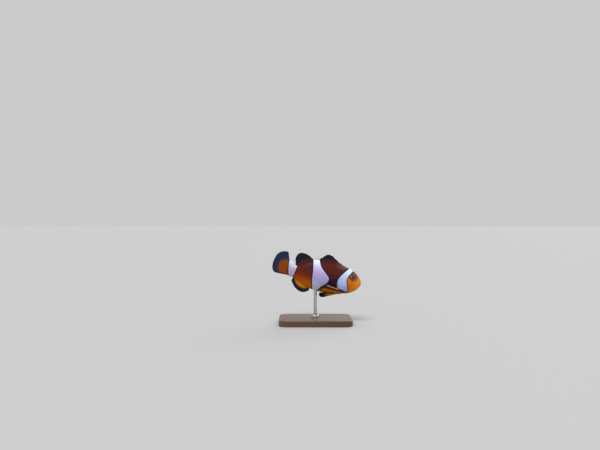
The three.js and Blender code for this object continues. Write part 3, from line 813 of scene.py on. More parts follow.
def body_mesh():
    """The whole body, from a sphere whose poles become the snout and the end of the stalk."""
    mesh = ball_mesh("body", STRIPS, RINGS)
    sphere = places_of(mesh)
    along = np.arccos(sphere[:, 2].clip(-1, 1)) / math.pi
    pole = np.abs(sphere[:, 2]) > 1 - 1e-6
    along[pole] = np.round(along[pole])
    share = through(RING_SHARES, along)
    turn = np.arctan2(sphere[:, 1], sphere[:, 0])
    set_places(mesh, skin_point(share, turn))
    corner_map(mesh, "fin_paint", 0 * share, 0 * share)
    body_chart(mesh, share, turn)
    face_out(mesh)
    return mesh


def united(mesh, others):
    """The mesh joined with others to one closed skin."""
    body = bpy.data.objects.new("body", mesh)
    bpy.context.scene.collection.objects.link(body)
    fins = []
    for other in others:
        fin = bpy.data.objects.new(other.name, other)
        bpy.context.scene.collection.objects.link(fin)
        fins.append(fin)
        weld = body.modifiers.new(other.name, "BOOLEAN")
        weld.operation = "UNION"
        weld.solver = "MANIFOLD"
        weld.object = fin
    drawn = bpy.context.evaluated_depsgraph_get()
    joined = bpy.data.meshes.new_from_object(body.evaluated_get(drawn))
    for part in [body, *fins]:
        bpy.data.objects.remove(part)
    return joined


SKIN_CREASE = 52  # the skin is sharp along edges that turn further than this, in degrees
HEAD_END = 0.17  # but not in front of this share


def make_skin(skin_paint, fin_paint):
    """One skin over the body and all its fins, with no seam."""
    shapes = [(body_mesh(), 0)]
    shapes += [(fin_sheet(fin), 0) for fin in (dorsal_fin(), anal_fin(), caudal_fin())]
    for side, sign in SIDES:
        for fin, lobe in ((pectoral_fin(side, sign), PECTORAL_LOBE), (pelvic_fin(side, sign), PELVIC_LOBE)):
            shapes += [(fin_lobe(fin, sign, *lobe), 1), (fin_sheet(fin), 1)]
    for mesh, index in shapes:
        mesh.materials.append(skin_paint)
        mesh.materials.append(fin_paint)
        mesh.polygons.foreach_set("material_index", np.full(len(mesh.polygons), index, np.int32))
    body, *fins = (mesh for mesh, index in shapes)
    joined = united(body, fins)
    places = places_of(joined)
    where, detail = markings(places)
    paint(joined, "where", where)
    paint(joined, "detail", detail)
    set_places(joined, posed(places))
    piece = new_piece("skin", joined, [], smooth_to=SKIN_CREASE)
    ends = read(joined.edges, "vertices", width=2).reshape(-1, 2)
    creased = read(joined.edges, "use_edge_sharp", bool)
    on_head = where[ends, 0].min(1) < HEAD_END
    joined.edges.foreach_set("use_edge_sharp", creased & ~on_head)
    fit_in(
        piece, "skin", "head", "lower_jaw", "gill_cover_left", "gill_cover_right", "trunk",
        "tail_stalk", "dorsal_fin_spiny", "dorsal_fin_soft", "anal_fin", "caudal_fin",
        "pectoral_fin_left", "pectoral_fin_right", "pelvic_fin_left", "pelvic_fin_right",
    )


# ---- Scales ----
ROW_PITCH = 0.85  # between rows of scales, up the flank
COLUMN_PITCH = 0.9  # between the scales of a row
SCALE_REACH = 2.1 * COLUMN_PITCH  # length of a scale, most of it under those before it
SCALE_HALF_SPAN = 1.08 * ROW_PITCH
TIP_ROUNDING = 0.72 * COLUMN_PITCH
SCALE_THICKNESS = 0.06
ROOT_SHARE = 0.1  # a scale reaches this share of its length forward of its root
SCALE_PATCH = 0.003  # its width on the bake's chart
FIN_ROOT_HALF = 0.75  # the scales stop this far from the middle line beside a fin
LATERAL_LINE = 0.74  # the pored row runs at this share of the girth from mid-flank to the back
HALF_GIRTH = 15.0  # where the girth from mid-flank to the middle line is this, rows keep their pitch
GIRTH_POWER = 0.35  # and elsewhere their pitch goes with this power of the girth
ROWS_EACH_WAY = 44
# On the head and the shoulders a column bends forward by this share, at this distance in
# millimetres from mid-flank.
COLUMN_BEND, BEND_AT = 0.028, 12
THROAT_LEVEL = -9.9  # the cheek and gill cover bear scales above this height
BARE_PECTORAL, BARE_EYE = 1.6, 0.9  # bare skin round a pectoral fin's root and round the eye
COAT_SEED, EDGE_SEED = {"right": 11, "left": 12}, 10
RAGGEDNESS = 1.6  # how unevenly the scales fade out at the coat's edge
SHORTEST_SCALE, FAINTEST_SCALE = 0.4, 0.02  # a scale cut shorter or fainter than this is left out
REAR_COAT = 0.5  # the coat over the rear flank starts at this share
# Shares of the first column of scales, of the foremost scale and of the last column.
COAT_START, COAT_FRONT, COAT_END = 0.06, 0.055, BODY_END - 0.012
SCALES_FRONT, SCALES_REAR = 0.05, BODY_END - 0.0045  # no part of a scale lies past these
SHARES = np.linspace(0.045, BODY_END - 0.004, 300)
RISES = np.linspace(-math.pi / 2, math.pi / 2, 181)
ARC_FRACTIONS = np.linspace(-1, 1, 241)


def flank_arcs():
    """For each share: the girth from mid-flank up and down, and the rise at each part of them."""
    share, rising = np.meshgrid(SHARES, RISES, indexing="ij")
    around = flank_point(share, rising)[..., 1:]
    steps = np.linalg.norm(np.diff(around, axis=1), axis=2)
    arc = np.concatenate([np.zeros((len(SHARES), 1)), np.cumsum(steps, 1)], 1)
    arc = arc - arc[:, len(RISES) // 2 : len(RISES) // 2 + 1]
    up, down = arc[:, -1], -arc[:, 0]
    parts = np.where(arc > 0, arc / up[:, None], arc / down[:, None])
    rises = np.array([np.interp(ARC_FRACTIONS, row, RISES) for row in parts])
    return up, down, rises


UP_ARC, DOWN_ARC, RISE_TABLE = flank_arcs()


def girth_at(share, arc):
    """Girth from mid-flank to the back, or to the belly for an arc under zero."""
    return np.where(arc > 0, np.interp(share, SHARES, UP_ARC), np.interp(share, SHARES, DOWN_ARC))


def rise_at(share, arc):
    """The body's turn on its left side, from the distance round the flank."""
    fraction = (arc / girth_at(share, arc)).clip(-1, 1)
    columns, rows = len(ARC_FRACTIONS), len(SHARES)
    column = np.interp(fraction, ARC_FRACTIONS, np.arange(columns)).clip(0, columns - 1.001)
    row = np.interp(share, SHARES, np.arange(rows)).clip(0, rows - 1.001)
    i, j = row.astype(int), column.astype(int)
    a, b = row - i, column - j
    top = lerp(RISE_TABLE[i, j], RISE_TABLE[i, j + 1], b)
    return lerp(top, lerp(RISE_TABLE[i + 1, j], RISE_TABLE[i + 1, j + 1], b), a)


def row_spread(share, arc):
    """How far the rows of scales are spread apart here, as they fan out over the deeper body."""
    return (girth_at(share, arc) / HALF_GIRTH) ** GIRTH_POWER


def scale_size(share):
    """Scales are smallest on the face and small again on the stalk."""
    return lerp(0.56, 1.0, rise(share, 0.1, 0.36)) * lerp(1.0, 0.72, rise(share, 0.55, 0.82))


def scale_roots():
    """Share, distance round the flank and size of every scale of one side, row by row."""
    share, columns = COAT_START, []
    while share < COAT_END:
        columns.append(share)
        share += COLUMN_PITCH * float(scale_size(share)) / TOTAL_LENGTH
    columns = np.array(columns)
    middles = np.interp(np.arange(len(columns)) + 0.5, np.arange(len(columns)), columns)
    roots = []
    for row in range(-ROWS_EACH_WAY, ROWS_EACH_WAY + 1):
        share = columns if row % 2 == 0 else middles
        size = scale_size(share)
        arc = row * ROW_PITCH * size
        arc = arc * row_spread(share, arc)
        share = share - COLUMN_BEND * (arc / BEND_AT) ** 2 * (1 - rise(share, 0.28, 0.6))
        inside = (np.abs(arc) < girth_at(share, arc) - 0.3 * size) & (share > COAT_FRONT)
        roots.append(np.stack([share, arc, size], 1)[inside])
    return np.vstack(roots)


def beside_fin(share, arc):
    """Whether a place on the flank is beside the root of the dorsal or the anal fin."""
    beside_dorsal = (share > DORSAL_FRONT) & (share < DORSAL_REAR) & (arc > 0)
    return beside_dorsal | ((share > ANAL_FRONT) & (share < ANAL_REAR) & (arc < 0))


def flank_place(share, arc):
    """The place of a scale on the left flank, in fish space."""
    return flank_point(share, rise_at(share, arc))


def boldness(roots):
    """How boldly a scale stands out: 0 on bare skin, and 1 from some way inside the coat's edge."""
    place = flank_place(roots[:, 0], roots[:, 1])
    behind, height = -place[:, 0], place[:, 2]
    from_face = behind - through(FACE_EDGE, height.clip(FACE_EDGE[0][0], FACE_EDGE[-1][0]))
    from_throat = np.where(gill_polar(behind, height)[0] < GILL_RADIUS, height - THROAT_LEVEL, TOTAL_LENGTH)
    pectoral = PECTORAL_AT * TOTAL_LENGTH, PECTORAL_LEVEL * TOTAL_LENGTH
    from_pectoral = np.hypot(behind - pectoral[0], height - pectoral[1]) - BARE_PECTORAL
    from_middle = girth_at(roots[:, 0], roots[:, 1]) - np.abs(roots[:, 1])
    from_fin = from_middle - FIN_ROOT_HALF + 0.3
    from_root = np.where(beside_fin(roots[:, 0], roots[:, 1]), from_fin, 1.7 * from_middle - 0.3)
    near = np.minimum.reduce([from_throat, from_pectoral, from_root, from_eye(place) - BARE_EYE])
    from_end = (BODY_END - roots[:, 0]) * TOTAL_LENGTH
    return rise(near, 0, 1.5) * rise(from_face, 0, 2.6) * rise(from_end, 0.8, 3.2)


def kept_length(roots):
    """How much of its length each scale keeps: none crosses the edge of the cheek or gill cover."""
    share, arc, size = roots.T
    reach = SCALE_REACH * size / TOTAL_LENGTH
    start = flank_place(share - ROOT_SHARE * reach, arc)
    end = flank_place(share + (1 - ROOT_SHARE) * reach, arc)
    start, angle = gill_polar(-start[:, 0], start[:, 2])
    end = gill_polar(-end[:, 0], end[:, 2])[0]
    kept = np.ones(len(roots))
    for edge, low, high in ((CHEEK_RADIUS, -1.15, 0.26), (GILL_RADIUS, -1.2, 0.2)):
        crosses = (angle > low) & (angle < high) & (start < edge + 0.25) & (end > edge - 0.1)
        kept = np.where(crosses, np.minimum(kept, (edge - 0.15 - start) / (end - start)), kept)
    return kept


def scale_pattern():
    """One scale: how far each vertex is along, across and down, and the corners of its faces."""
    mesh = slab_mesh("scale", 3, 6)
    face_out(mesh)
    flat = places_of(mesh)
    corners, count = read(mesh.loops, "vertex_index"), read(mesh.polygons, "loop_total")
    bpy.data.meshes.remove(mesh)
    under = (flat[:, 2] < flat[:, 2].mean()).astype(float)
    return flat[:, 0] + 0.5, flat[:, 1] * 2, under, corners, count


def repeated_mesh(name, corners, count, per_shape, shapes):
    """A mesh that holds one pattern's faces many times over."""
    offsets = np.arange(shapes)[:, None] * per_shape
    mesh = bpy.data.meshes.new(name)
    mesh.vertices.add(shapes * per_shape)
    mesh.loops.add(shapes * len(corners))
    mesh.polygons.add(shapes * len(count))
    mesh.loops.foreach_set("vertex_index", (corners[None] + offsets).ravel().astype(np.int32))
    counts = np.tile(count, shapes)
    mesh.polygons.foreach_set("loop_start", (np.cumsum(counts) - counts).astype(np.int32))
    mesh.update(calc_edges=True)
    return mesh


def scale_coat(name, roots, sign, rng, material):
    """A coat of overlapping scales along one side, each lifted at its free rear edge."""
    along, across, under, corners, count = scale_pattern()
    share, arc, size, kept, bold = (roots[:, k:k + 1] for k in range(5))
    many = len(roots)
    size = size * rng.uniform(0.95, 1.05, (many, 1))
    twist = rng.normal(0, 0.03, (many, 1))
    tone = rng.normal(0, 1, (many, 1)).clip(-2, 2)

    round_tip = TIP_ROUNDING * along * (1 - np.sqrt(1 - (0.96 * across) ** 2))
    p = ((along - ROOT_SHARE) * SCALE_REACH * kept - round_tip) * size
    q = across * (0.75 + 0.25 * np.sin(math.pi * 0.6 * along)) * SCALE_HALF_SPAN * size
    p, q = p - q * twist, q + p * twist
    spread = row_spread(share, arc)
    at_share = (share + p / TOTAL_LENGTH).clip(SCALES_FRONT, SCALES_REAR)
    at_arc = arc + q * spread
    limit = girth_at(at_share, at_arc) - lerp(0.02, FIN_ROOT_HALF, beside_fin(at_share, at_arc))
    turn = rise_at(at_share, at_arc.clip(-limit, limit))
    high = (0.17 * along + 0.035 * (1 - across**2)) * size - 0.075
    pore = np.abs(arc - LATERAL_LINE * girth_at(share, arc)) < 0.5 * ROW_PITCH * size * spread
    pore = pore & (share > GILL_RADIUS / TOTAL_LENGTH) & (share < DORSAL_REAR - 0.02)
    high = high + 0.07 * pore * mound(across, 0.2)
    high = lerp(-0.07, high.clip(-0.1, COAT_DEPTH - 0.005), bold)
    lift = high - under * SCALE_THICKNESS
    place = skin_point(at_share.ravel(), turn.ravel(), lift.ravel())
    place[:, 1] *= sign

    mesh = repeated_mesh(name, corners, count, len(along), many)
    where, detail = markings(place)
    detail[:, 2] = np.repeat((tone * bold).ravel(), len(along))
    paint(mesh, "where", where)
    paint(mesh, "detail", detail)
    corner_map(mesh, "scale_place", (along * lerp(0.7, 1, bold)).ravel(), (across * bold).ravel())
    around = 0.5 + 0.95 * arc / (2 * max(UP_ARC.max(), DOWN_ARC.max()))
    chart_u = 0.02 + 0.96 * share / BODY_END + SCALE_PATCH * (along - 0.5)
    corner_map(mesh, "OFBake", chart_u.ravel(), (around + SCALE_PATCH * across / 2).ravel())
    set_places(mesh, posed(place))
    if sign < 0:
        mesh.flip_normals()
    fit_in(new_piece(name, mesh, [material], smooth_to=50), "skin")


def clear_of_rod(roots, sign):
    """Whether a scale leaves room for the stand's rod."""
    place = flank_place(roots[:, 0], roots[:, 1])
    place[:, 1] *= sign
    at = posed(place) / METRE
    from_axis = np.hypot(at[:, 0], at[:, 1])
    return (from_axis > ROD_RADIUS + ROD_CLEARANCE) | (at[:, 2] > BELLY_HEIGHT + ROD_REACH)


def make_scales(material):
    """Three coats a side: over the gill cover and cheek, over the front flank and the rear one."""
    roots = scale_roots()
    bold = boldness(roots)
    bold += RAGGEDNESS * bold * (1 - bold) * np.random.default_rng(EDGE_SEED).uniform(-1, 1, len(bold))
    roots = np.column_stack([roots, kept_length(roots), bold.clip(0, 1)])
    roots = roots[(roots[:, 3] > SHORTEST_SCALE) & (roots[:, 4] > FAINTEST_SCALE)]
    for side, sign in SIDES:
        rng = np.random.default_rng(COAT_SEED[side])
        kept = roots[clear_of_rod(roots, sign)]
        place = flank_place(kept[:, 0], kept[:, 1])
        on_head = gill_polar(-place[:, 0], place[:, 2])[0] < GILL_RADIUS
        at_rear = kept[:, 0] > REAR_COAT
        scale_coat(f"head_scales_{side}", kept[on_head], sign, rng, material)
        scale_coat(f"flank_scales_{side}", kept[~on_head & ~at_rear], sign, rng, material)
        scale_coat(f"tail_scales_{side}", kept[at_rear], sign, rng, material)


# ---- Eyes ----
def make_eye(side, sign, material):
    """An eyeball with its pole the way it looks, a little domed over the pupil."""
    mesh = ball_mesh(f"eye_{side}", 64, 48)
    x, y, z = (places_of(mesh)[:, k] for k in range(3))
    from_axis = np.hypot(x, y)
    out = z * np.where(z > 0, EYE_DOME, EYE_DEPTH)
    out = out + PUPIL_DOME * mound(from_axis, PUPIL_SHARE) * (z > 0)
    place = EYE_CENTRE + np.outer(x * EYE_RADIUS, EYE_AHEAD) + np.outer(y * EYE_RADIUS, EYE_UP)
    place = (place + np.outer(out, EYE_LOOK)) * (1, sign, 1)
    around = (np.arctan2(y, x) / (2 * math.pi)) % 1
    corner_map(mesh, "iris", np.where(z > 0, from_axis, 2 - from_axis), around)
    set_places(mesh, posed(place))
    face_out(mesh)
    fit_in(new_piece(f"eyeball_{side}", mesh, [material]), "eye", f"eye_{side}")


# ---- Materials ----
ATTRIBUTE, SPLIT, JOIN = "ShaderNodeAttribute", "ShaderNodeSeparateXYZ", "ShaderNodeCombineXYZ"
MATH, MIX, RANGE, RAMP = "ShaderNodeMath", "ShaderNodeMix", "ShaderNodeMapRange", "ShaderNodeValToRGB"
NOISE, MAPPING, BUMP = "ShaderNodeTexNoise", "ShaderNodeMapping", "ShaderNodeBump"
EASED, COLOURS = {"interpolation_type": "SMOOTHSTEP"}, {"data_type": "RGBA"}


def linear(colour):
    """A hex sRGB colour as linear red, green, blue and alpha."""
    shares = [int(colour[i:i + 2], 16) / 255 for i in (1, 3, 5)]
    return [c / 12.92 if c <= 0.04045 else ((c + 0.055) / 1.055) ** 2.4 for c in shares] + [1.0]


def node(tree, kind, links=None, stops=(), **settings):
    """Adds a node with its settings, a ramp's stops, and its sockets' values or links.

    A socket takes a number, a colour, another node's output, or a node for its first output.
    """
    made = tree.nodes.new(kind)
    for name, value in settings.items():
        setattr(made, name, value)
    for key, value in (links or {}).items():
        if isinstance(value, bpy.types.Node):
            value = next(output for output in value.outputs if output.enabled)
        if isinstance(value, bpy.types.NodeSocket):
            tree.links.new(value, made.inputs[key])
        else:
            made.inputs[key].default_value = linear(value) if isinstance(value, str) else value
    for i, (at, colour) in enumerate(stops):
        stop = made.color_ramp.elements[i] if i < 2 else made.color_ramp.elements.new(at)
        stop.position = at
        stop.color = linear(colour)
    return made


def new_material(name):
    material = bpy.data.materials.new(name)
    material.use_nodes = True
    tree = material.node_tree
    tree.nodes.clear()
    return material, tree


# Colours down the fish, from the belly at the left to the tips of the dorsal fin at the right.
HEIGHT_LOW, HEIGHT_HIGH = -0.22, 0.22
HEAD_STOPS = (
    (0.0, "#cc7c0e"), (0.2, "#d2800e"), (0.38, "#d67a0a"), (0.52, "#d67208"), (0.58, "#b4622a"),
    (0.64, "#8c5148"), (0.71, "#7a4c5c"), (1.0, "#684458"),
)
FRONT_STOPS = (
    (0.0, "#c07408"), (0.15, "#c06c06"), (0.205, "#8c4208"), (0.245, "#2a181c"), (0.34, "#22181f"),
    (0.44, "#381a20"), (0.56, "#591d1c"), (0.72, "#5c2220"), (0.82, "#4e2219"), (1.0, "#361c14"),
)
REAR_STOPS = (
    (0.0, "#946008"), (0.14, "#c27202"), (0.24, "#b45c00"), (0.33, "#8e3a02"), (0.4, "#762a08"),
    (0.48, "#601f14"), (0.6, "#501e16"), (0.72, "#471d17"), (0.85, "#361b1b"), (1.0, "#281a1e"),
)
# The white bars' colours hold their white and painted light together: icy white on top, painted
# lavender-grey shade lower down, and the middle bar painted paler again at its foot.
HEAD_WHITE_AND_LIGHT_STOPS = (
    (0.0, "#a9a6c4"), (0.22, "#a8aed2"), (0.4, "#aebfe8"), (0.56, "#b5cdf6"), (0.7, "#d8f2fb"),
    (1.0, "#e6fafd"),
)
MIDDLE_WHITE_AND_LIGHT_STOPS = (
    (0.0, "#e2e4f0"), (0.2, "#b4bbd8"), (0.36, "#a6a4d0"), (0.52, "#b4a8da"), (0.64, "#cac6f2"),
    (0.76, "#e0f2fe"), (1.0, "#eef9fe"),
)
TAIL_WHITE_AND_LIGHT_STOPS = (
    (0.26, "#b5adc0"), (0.38, "#b198ba"), (0.48, "#b6a8c8"), (0.57, "#d2daf4"), (0.66, "#e6f2fc"),
)
# Colours across a pectoral fin, from its first ray to its last: pale first rays, then a dark red-brown band
# of painted shade below them, then orange.
PAIRED_FIN_STOPS = (
    (0.0, "#c49c94"), (0.12, "#a07268"), (0.2, "#6a3c2c"), (0.27, "#421404"), (0.36, "#4a1a02"),
    (0.5, "#a45c04"), (0.65, "#c47402"), (1.0, "#c47802"),
)


def body_colours(tree, share, height, level, face, at_tail):
    """The fish's colours without its bars."""
    front = node(tree, RAMP, {0: level}, FRONT_STOPS)
    rear = node(tree, RAMP, {0: level}, REAR_STOPS)
    head = node(tree, RAMP, {0: level}, HEAD_STOPS)
    # A painted highlight: a pale pinkish sheen over the nape, as where light from above catches it.
    on_nape = node(tree, RANGE, {0: height, 1: 0.075, 2: 0.135, 3: 0.0, 4: 0.7}, **EASED)
    before = node(tree, RANGE, {0: share, 1: 0.34, 2: 0.2}, **EASED)
    painted_nape_sheen = node(tree, MATH, {0: on_nape, 1: before}, operation="MULTIPLY")
    front = node(tree, MIX, {0: painted_nape_sheen, 6: front, 7: "#785c62"}, **COLOURS)
    at_rear = node(tree, RANGE, {0: share, 1: 0.44, 2: 0.5}, **EASED)
    ground = node(tree, MIX, {0: at_rear, 6: front, 7: rear}, **COLOURS)
    ground = node(tree, MIX, {0: at_tail, 6: ground, 7: "#803e00"}, **COLOURS)
    # The snout is the brightest, yellowest orange.
    at_snout = node(tree, RANGE, {0: share, 1: 0.085, 2: 0.01, 4: 0.7}, **EASED)
    head = node(tree, MIX, {0: at_snout, 6: head, 7: "#ea9c34"}, **COLOURS)
    at_face = node(tree, RANGE, {0: face, 1: -1.5, 2: 1.5}, **EASED)
    return node(tree, MIX, {0: at_face, 6: ground, 7: head}, **COLOURS)


def white_bars(tree, ground, share, level, bar, white):
    """The three bars laid over the fish's colours, each with a black border. Their white carries painted
    light: paler on top, with painted shade lower down.
    """
    bar_white_and_light = node(tree, RAMP, {0: level}, HEAD_WHITE_AND_LIGHT_STOPS)
    for start, end, stops in ((0.28, 0.32, MIDDLE_WHITE_AND_LIGHT_STOPS), (0.62, 0.66, TAIL_WHITE_AND_LIGHT_STOPS)):
        past = node(tree, RANGE, {0: share, 1: start, 2: end})
        white_and_light_behind = node(tree, RAMP, {0: level}, stops)
        bar_white_and_light = node(tree, MIX, {0: past, 6: bar_white_and_light, 7: white_and_light_behind}, **COLOURS)
    border = node(tree, RANGE, {0: bar, 1: -1.2, 2: -0.45, 4: 0.86}, **EASED)
    ground = node(tree, MIX, {0: border, 6: ground, 7: "#1c1219"}, **COLOURS)
    return node(tree, MIX, {0: white, 6: ground, 7: bar_white_and_light}, **COLOURS)


def fish_paint(name, paired):
    """Oil paint over a cast resin skin, sealed with a satin varnish: soft, wet-looking highlights."""
    material, tree = new_material(name)
    where = node(tree, ATTRIBUTE, attribute_name="where")
    detail = node(tree, ATTRIBUTE, attribute_name="detail")
    on_fin = node(tree, ATTRIBUTE, attribute_name="fin_paint")
    on_scale = node(tree, ATTRIBUTE, attribute_name="scale_place")
    share, height, bar = node(tree, SPLIT, {0: where.outputs["Vector"]}).outputs
    face, shadow, tone = node(tree, SPLIT, {0: detail.outputs["Vector"]}).outputs
    margin, ridge = node(tree, SPLIT, {0: on_fin.outputs["Vector"]}).outputs[:2]
    along, across = node(tree, SPLIT, {0: on_scale.outputs["Vector"]}).outputs[:2]
    objects = node(tree, "ShaderNodeTexCoord").outputs["Object"]

    # Clouds of pigment about 3 mm across, and a finer stipple of about 0.5 mm.
    clouds = node(tree, NOISE, {"Vector": objects, "Scale": 330.0, "Detail": 3.0})
    stipple = node(tree, NOISE, {"Vector": objects, "Scale": 2000.0, "Detail": 2.0})
    edge = node(tree, RANGE, {0: along, 1: 0.72, 2: 1.0}, **EASED)

    # A painter's dry brush: each scale has its own tone, a paler middle and a darker free edge,
    # and fin rays show a little darker than the skin stretched between them.
    off_middle = node(tree, MATH, {0: across, 1: 2.0}, operation="POWER")
    light = 0.96
    for touch, gain in ((tone, 0.075), (stipple, 0.12), (edge, -0.26), (off_middle, -0.14), (ridge, -0.2)):
        light = node(tree, MATH, {0: touch, 1: gain, 2: light}, operation="MULTIPLY_ADD")

    dark = node(tree, MIX, {0: clouds, 6: "#0e131f", 7: "#172136"}, **COLOURS)
    if paired:
        lay = node(tree, ATTRIBUTE, attribute_name="fin_lay")
        ray = node(tree, SPLIT, {0: lay.outputs["Vector"]})
        ground = node(tree, RAMP, {0: ray}, PAIRED_FIN_STOPS)
    else:
        stir = node(tree, MATH, {0: clouds, 1: 0.05, 2: -0.025}, operation="MULTIPLY_ADD")
        stir = node(tree, MATH, {0: tone, 1: 0.006, 2: stir}, operation="MULTIPLY_ADD")
        level = node(tree, MATH, {0: height, 1: stir}, operation="ADD")
        level = node(tree, RANGE, {0: level, 1: HEIGHT_LOW, 2: HEIGHT_HIGH})
        at_tail = node(tree, RANGE, {0: share, 1: 0.74, 2: 0.78}, **EASED)
        ground = body_colours(tree, share, height, level, face, at_tail)
        white = node(tree, RANGE, {0: bar, 1: -0.06, 2: 0.12}, **EASED)
        ground = white_bars(tree, ground, share, level, bar, white)
        pale = node(tree, MATH, {0: edge, 1: -0.09, 2: 1.0}, operation="MULTIPLY_ADD")
        light = node(tree, MIX, {0: white, 2: light, 3: pale})
        dark = node(tree, MIX, {0: at_tail, 6: dark, 7: "#1f2c42"}, **COLOURS)

    in_margin = node(tree, RANGE, {0: margin, 1: 0.7, 2: 1.06}, **EASED)
    ground = node(tree, MIX, {0: in_margin, 6: ground, 7: dark}, **COLOURS)
    on_rim = node(tree, RANGE, {0: margin, 1: 1.48, 2: 1.95}, **EASED)
    ground = node(tree, MIX, {0: on_rim, 6: ground, 7: "#76819a"}, **COLOURS)
    lit = node(tree, JOIN, {0: light, 1: light, 2: light})
    colour = node(tree, MIX, {0: 1.0, 6: ground, 7: lit}, blend_type="MULTIPLY", **COLOURS)
    in_shadow = node(tree, MATH, {0: shadow, 1: 0.85}, operation="MULTIPLY")
    colour = node(tree, MIX, {0: in_shadow, 6: colour, 7: "#120c0e"}, **COLOURS)

    rough = node(tree, MATH, {0: clouds, 1: 0.14, 2: 0.4}, operation="MULTIPLY_ADD")
    # Pores and brush marks of about 0.5 mm.
    bump = node(tree, BUMP, {"Height": stipple, "Strength": 0.25, "Distance": 0.00006})
    shader = node(tree, "ShaderNodeBsdfPrincipled", {
        "Base Color": colour, "Roughness": rough, "Normal": bump, "Specular IOR Level": 0.07,
        "Coat Weight": 0.04, "Coat Roughness": 0.22,
    })
    node(tree, "ShaderNodeOutputMaterial", {"Surface": shader})
    return material


def eye_glass():
    """A taxidermist's glass eye, painted from behind: a sharp, wet highlight over the iris."""
    material, tree = new_material("painted_glass_eye")
    iris = node(tree, ATTRIBUTE, attribute_name="iris")
    out, around = node(tree, SPLIT, {0: iris.outputs["Vector"]}).outputs[:2]
    # The iris has fine streaks that run out from the pupil.
    streak_out = node(tree, MATH, {0: out, 1: 1.5}, operation="MULTIPLY")
    streak_round = node(tree, MATH, {0: around, 1: 40.0}, operation="MULTIPLY")
    streak_at = node(tree, JOIN, {0: streak_out, 1: streak_round})
    streaks = node(tree, NOISE, {"Vector": streak_at, "Scale": 1.6, "Detail": 3.0})
    stirred = node(tree, MATH, {0: streaks, 1: 0.05, 2: out}, operation="MULTIPLY_ADD")
    rings = node(tree, RAMP, {0: stirred}, (
        (0.0, "#030304"), (0.43, "#040405"), (0.46, "#b07a40"), (0.505, "#8c5a42"), (0.6, "#75505a"),
        (0.78, "#624354"), (0.92, "#34242f"), (1.0, "#160f16"),
    ))
    on_iris = node(tree, RANGE, {0: out, 1: 0.44, 2: 0.5, 4: 0.5}, **EASED)
    streaked = node(tree, MATH, {0: streaks, 1: on_iris}, operation="MULTIPLY")
    colour = node(tree, MIX, {0: streaked, 6: rings, 7: "#241614"}, **COLOURS)
    shader = node(tree, "ShaderNodeBsdfPrincipled", {
        "Base Color": colour, "Roughness": 0.25, "Specular IOR Level": 0.1,
        "Coat Weight": 0.9, "Coat Roughness": 0.03, "Coat IOR": 1.42,
    })
    node(tree, "ShaderNodeOutputMaterial", {"Surface": shader})
    return material


def walnut():
    """Walnut, planed and rubbed with satin varnish: brown heartwood with long dark grain."""
    material, tree = new_material("satin_walnut")
    objects = node(tree, "ShaderNodeTexCoord").outputs["Object"]
    # Growth rings about 3 mm apart round a heart 26 mm under the board, which they cut flat.
    log_at = node(tree, MAPPING, {
        "Vector": objects, "Location": (0.0, 0.006, 0.026), "Scale": (0.07, 1.0, 1.0),
    })
    rings = node(tree, "ShaderNodeTexWave", {
        "Vector": log_at, "Scale": 105.0, "Distortion": 5.0, "Detail": 3.0, "Detail Scale": 0.8,
        "Detail Roughness": 0.55,
    }, wave_type="RINGS", rings_direction="X")
    tint_at = node(tree, MAPPING, {"Vector": objects, "Scale": (12.0, 90.0, 90.0)})
    tint = node(tree, NOISE, {"Vector": tint_at, "Scale": 1.0, "Detail": 4.0})
    # Pores as fine dark dashes, about 0.15 mm wide and several long.
    pores_at = node(tree, MAPPING, {"Vector": objects, "Scale": (260.0, 5200.0, 5200.0)})
    pores = node(tree, NOISE, {"Vector": pores_at, "Scale": 1.0, "Detail": 2.0})
    pores = node(tree, RANGE, {0: pores, 1: 0.56, 2: 0.74}, **EASED)
    grain = node(tree, RAMP, {0: rings}, (
        (0.0, "#4a3020"), (0.22, "#583a26"), (0.65, "#64432c"), (1.0, "#6b4830"),
    ))
    colour = node(tree, MIX, {0: tint, 6: grain, 7: "#4d3323"}, **COLOURS)
    pored = node(tree, MATH, {0: pores, 1: 0.45}, operation="MULTIPLY")
    colour = node(tree, MIX, {0: pored, 6: colour, 7: "#2b1a11"}, **COLOURS)
    rough = node(tree, MATH, {0: pores, 1: 0.2, 2: 0.38}, operation="MULTIPLY_ADD")
    bump = node(tree, BUMP, {"Height": pores, "Strength": 0.3, "Distance": 0.00008}, invert=True)
    shader = node(tree, "ShaderNodeBsdfPrincipled", {
        "Base Color": colour, "Roughness": rough, "Normal": bump,
        "Coat Weight": 0.2, "Coat Roughness": 0.24,
    })
    node(tree, "ShaderNodeOutputMaterial", {"Surface": shader})
    return material


def brushed_steel():
    """Stainless steel, brushed round its length: a broad, streaky grey highlight."""
    material, tree = new_material("brushed_stainless_steel")
    objects = node(tree, "ShaderNodeTexCoord").outputs["Object"]
    # Brush lines about 0.1 mm apart.
    lines_at = node(tree, MAPPING, {"Vector": objects, "Scale": (300.0, 300.0, 9000.0)})
    lines = node(tree, NOISE, {"Vector": lines_at, "Scale": 1.0, "Detail": 3.0})
    rough = node(tree, MATH, {0: lines, 1: 0.16, 2: 0.2}, operation="MULTIPLY_ADD")
    colour = node(tree, MIX, {0: lines, 6: "#a9abae", 7: "#c9cbcd"}, **COLOURS)
    bump = node(tree, BUMP, {"Height": lines, "Strength": 0.12, "Distance": 0.00002})
    shader = node(tree, "ShaderNodeBsdfPrincipled", {
        "Base Color": colour, "Metallic": 1.0, "Roughness": rough, "Normal": bump,
    })
    node(tree, "ShaderNodeOutputMaterial", {"Surface": shader})
    return material


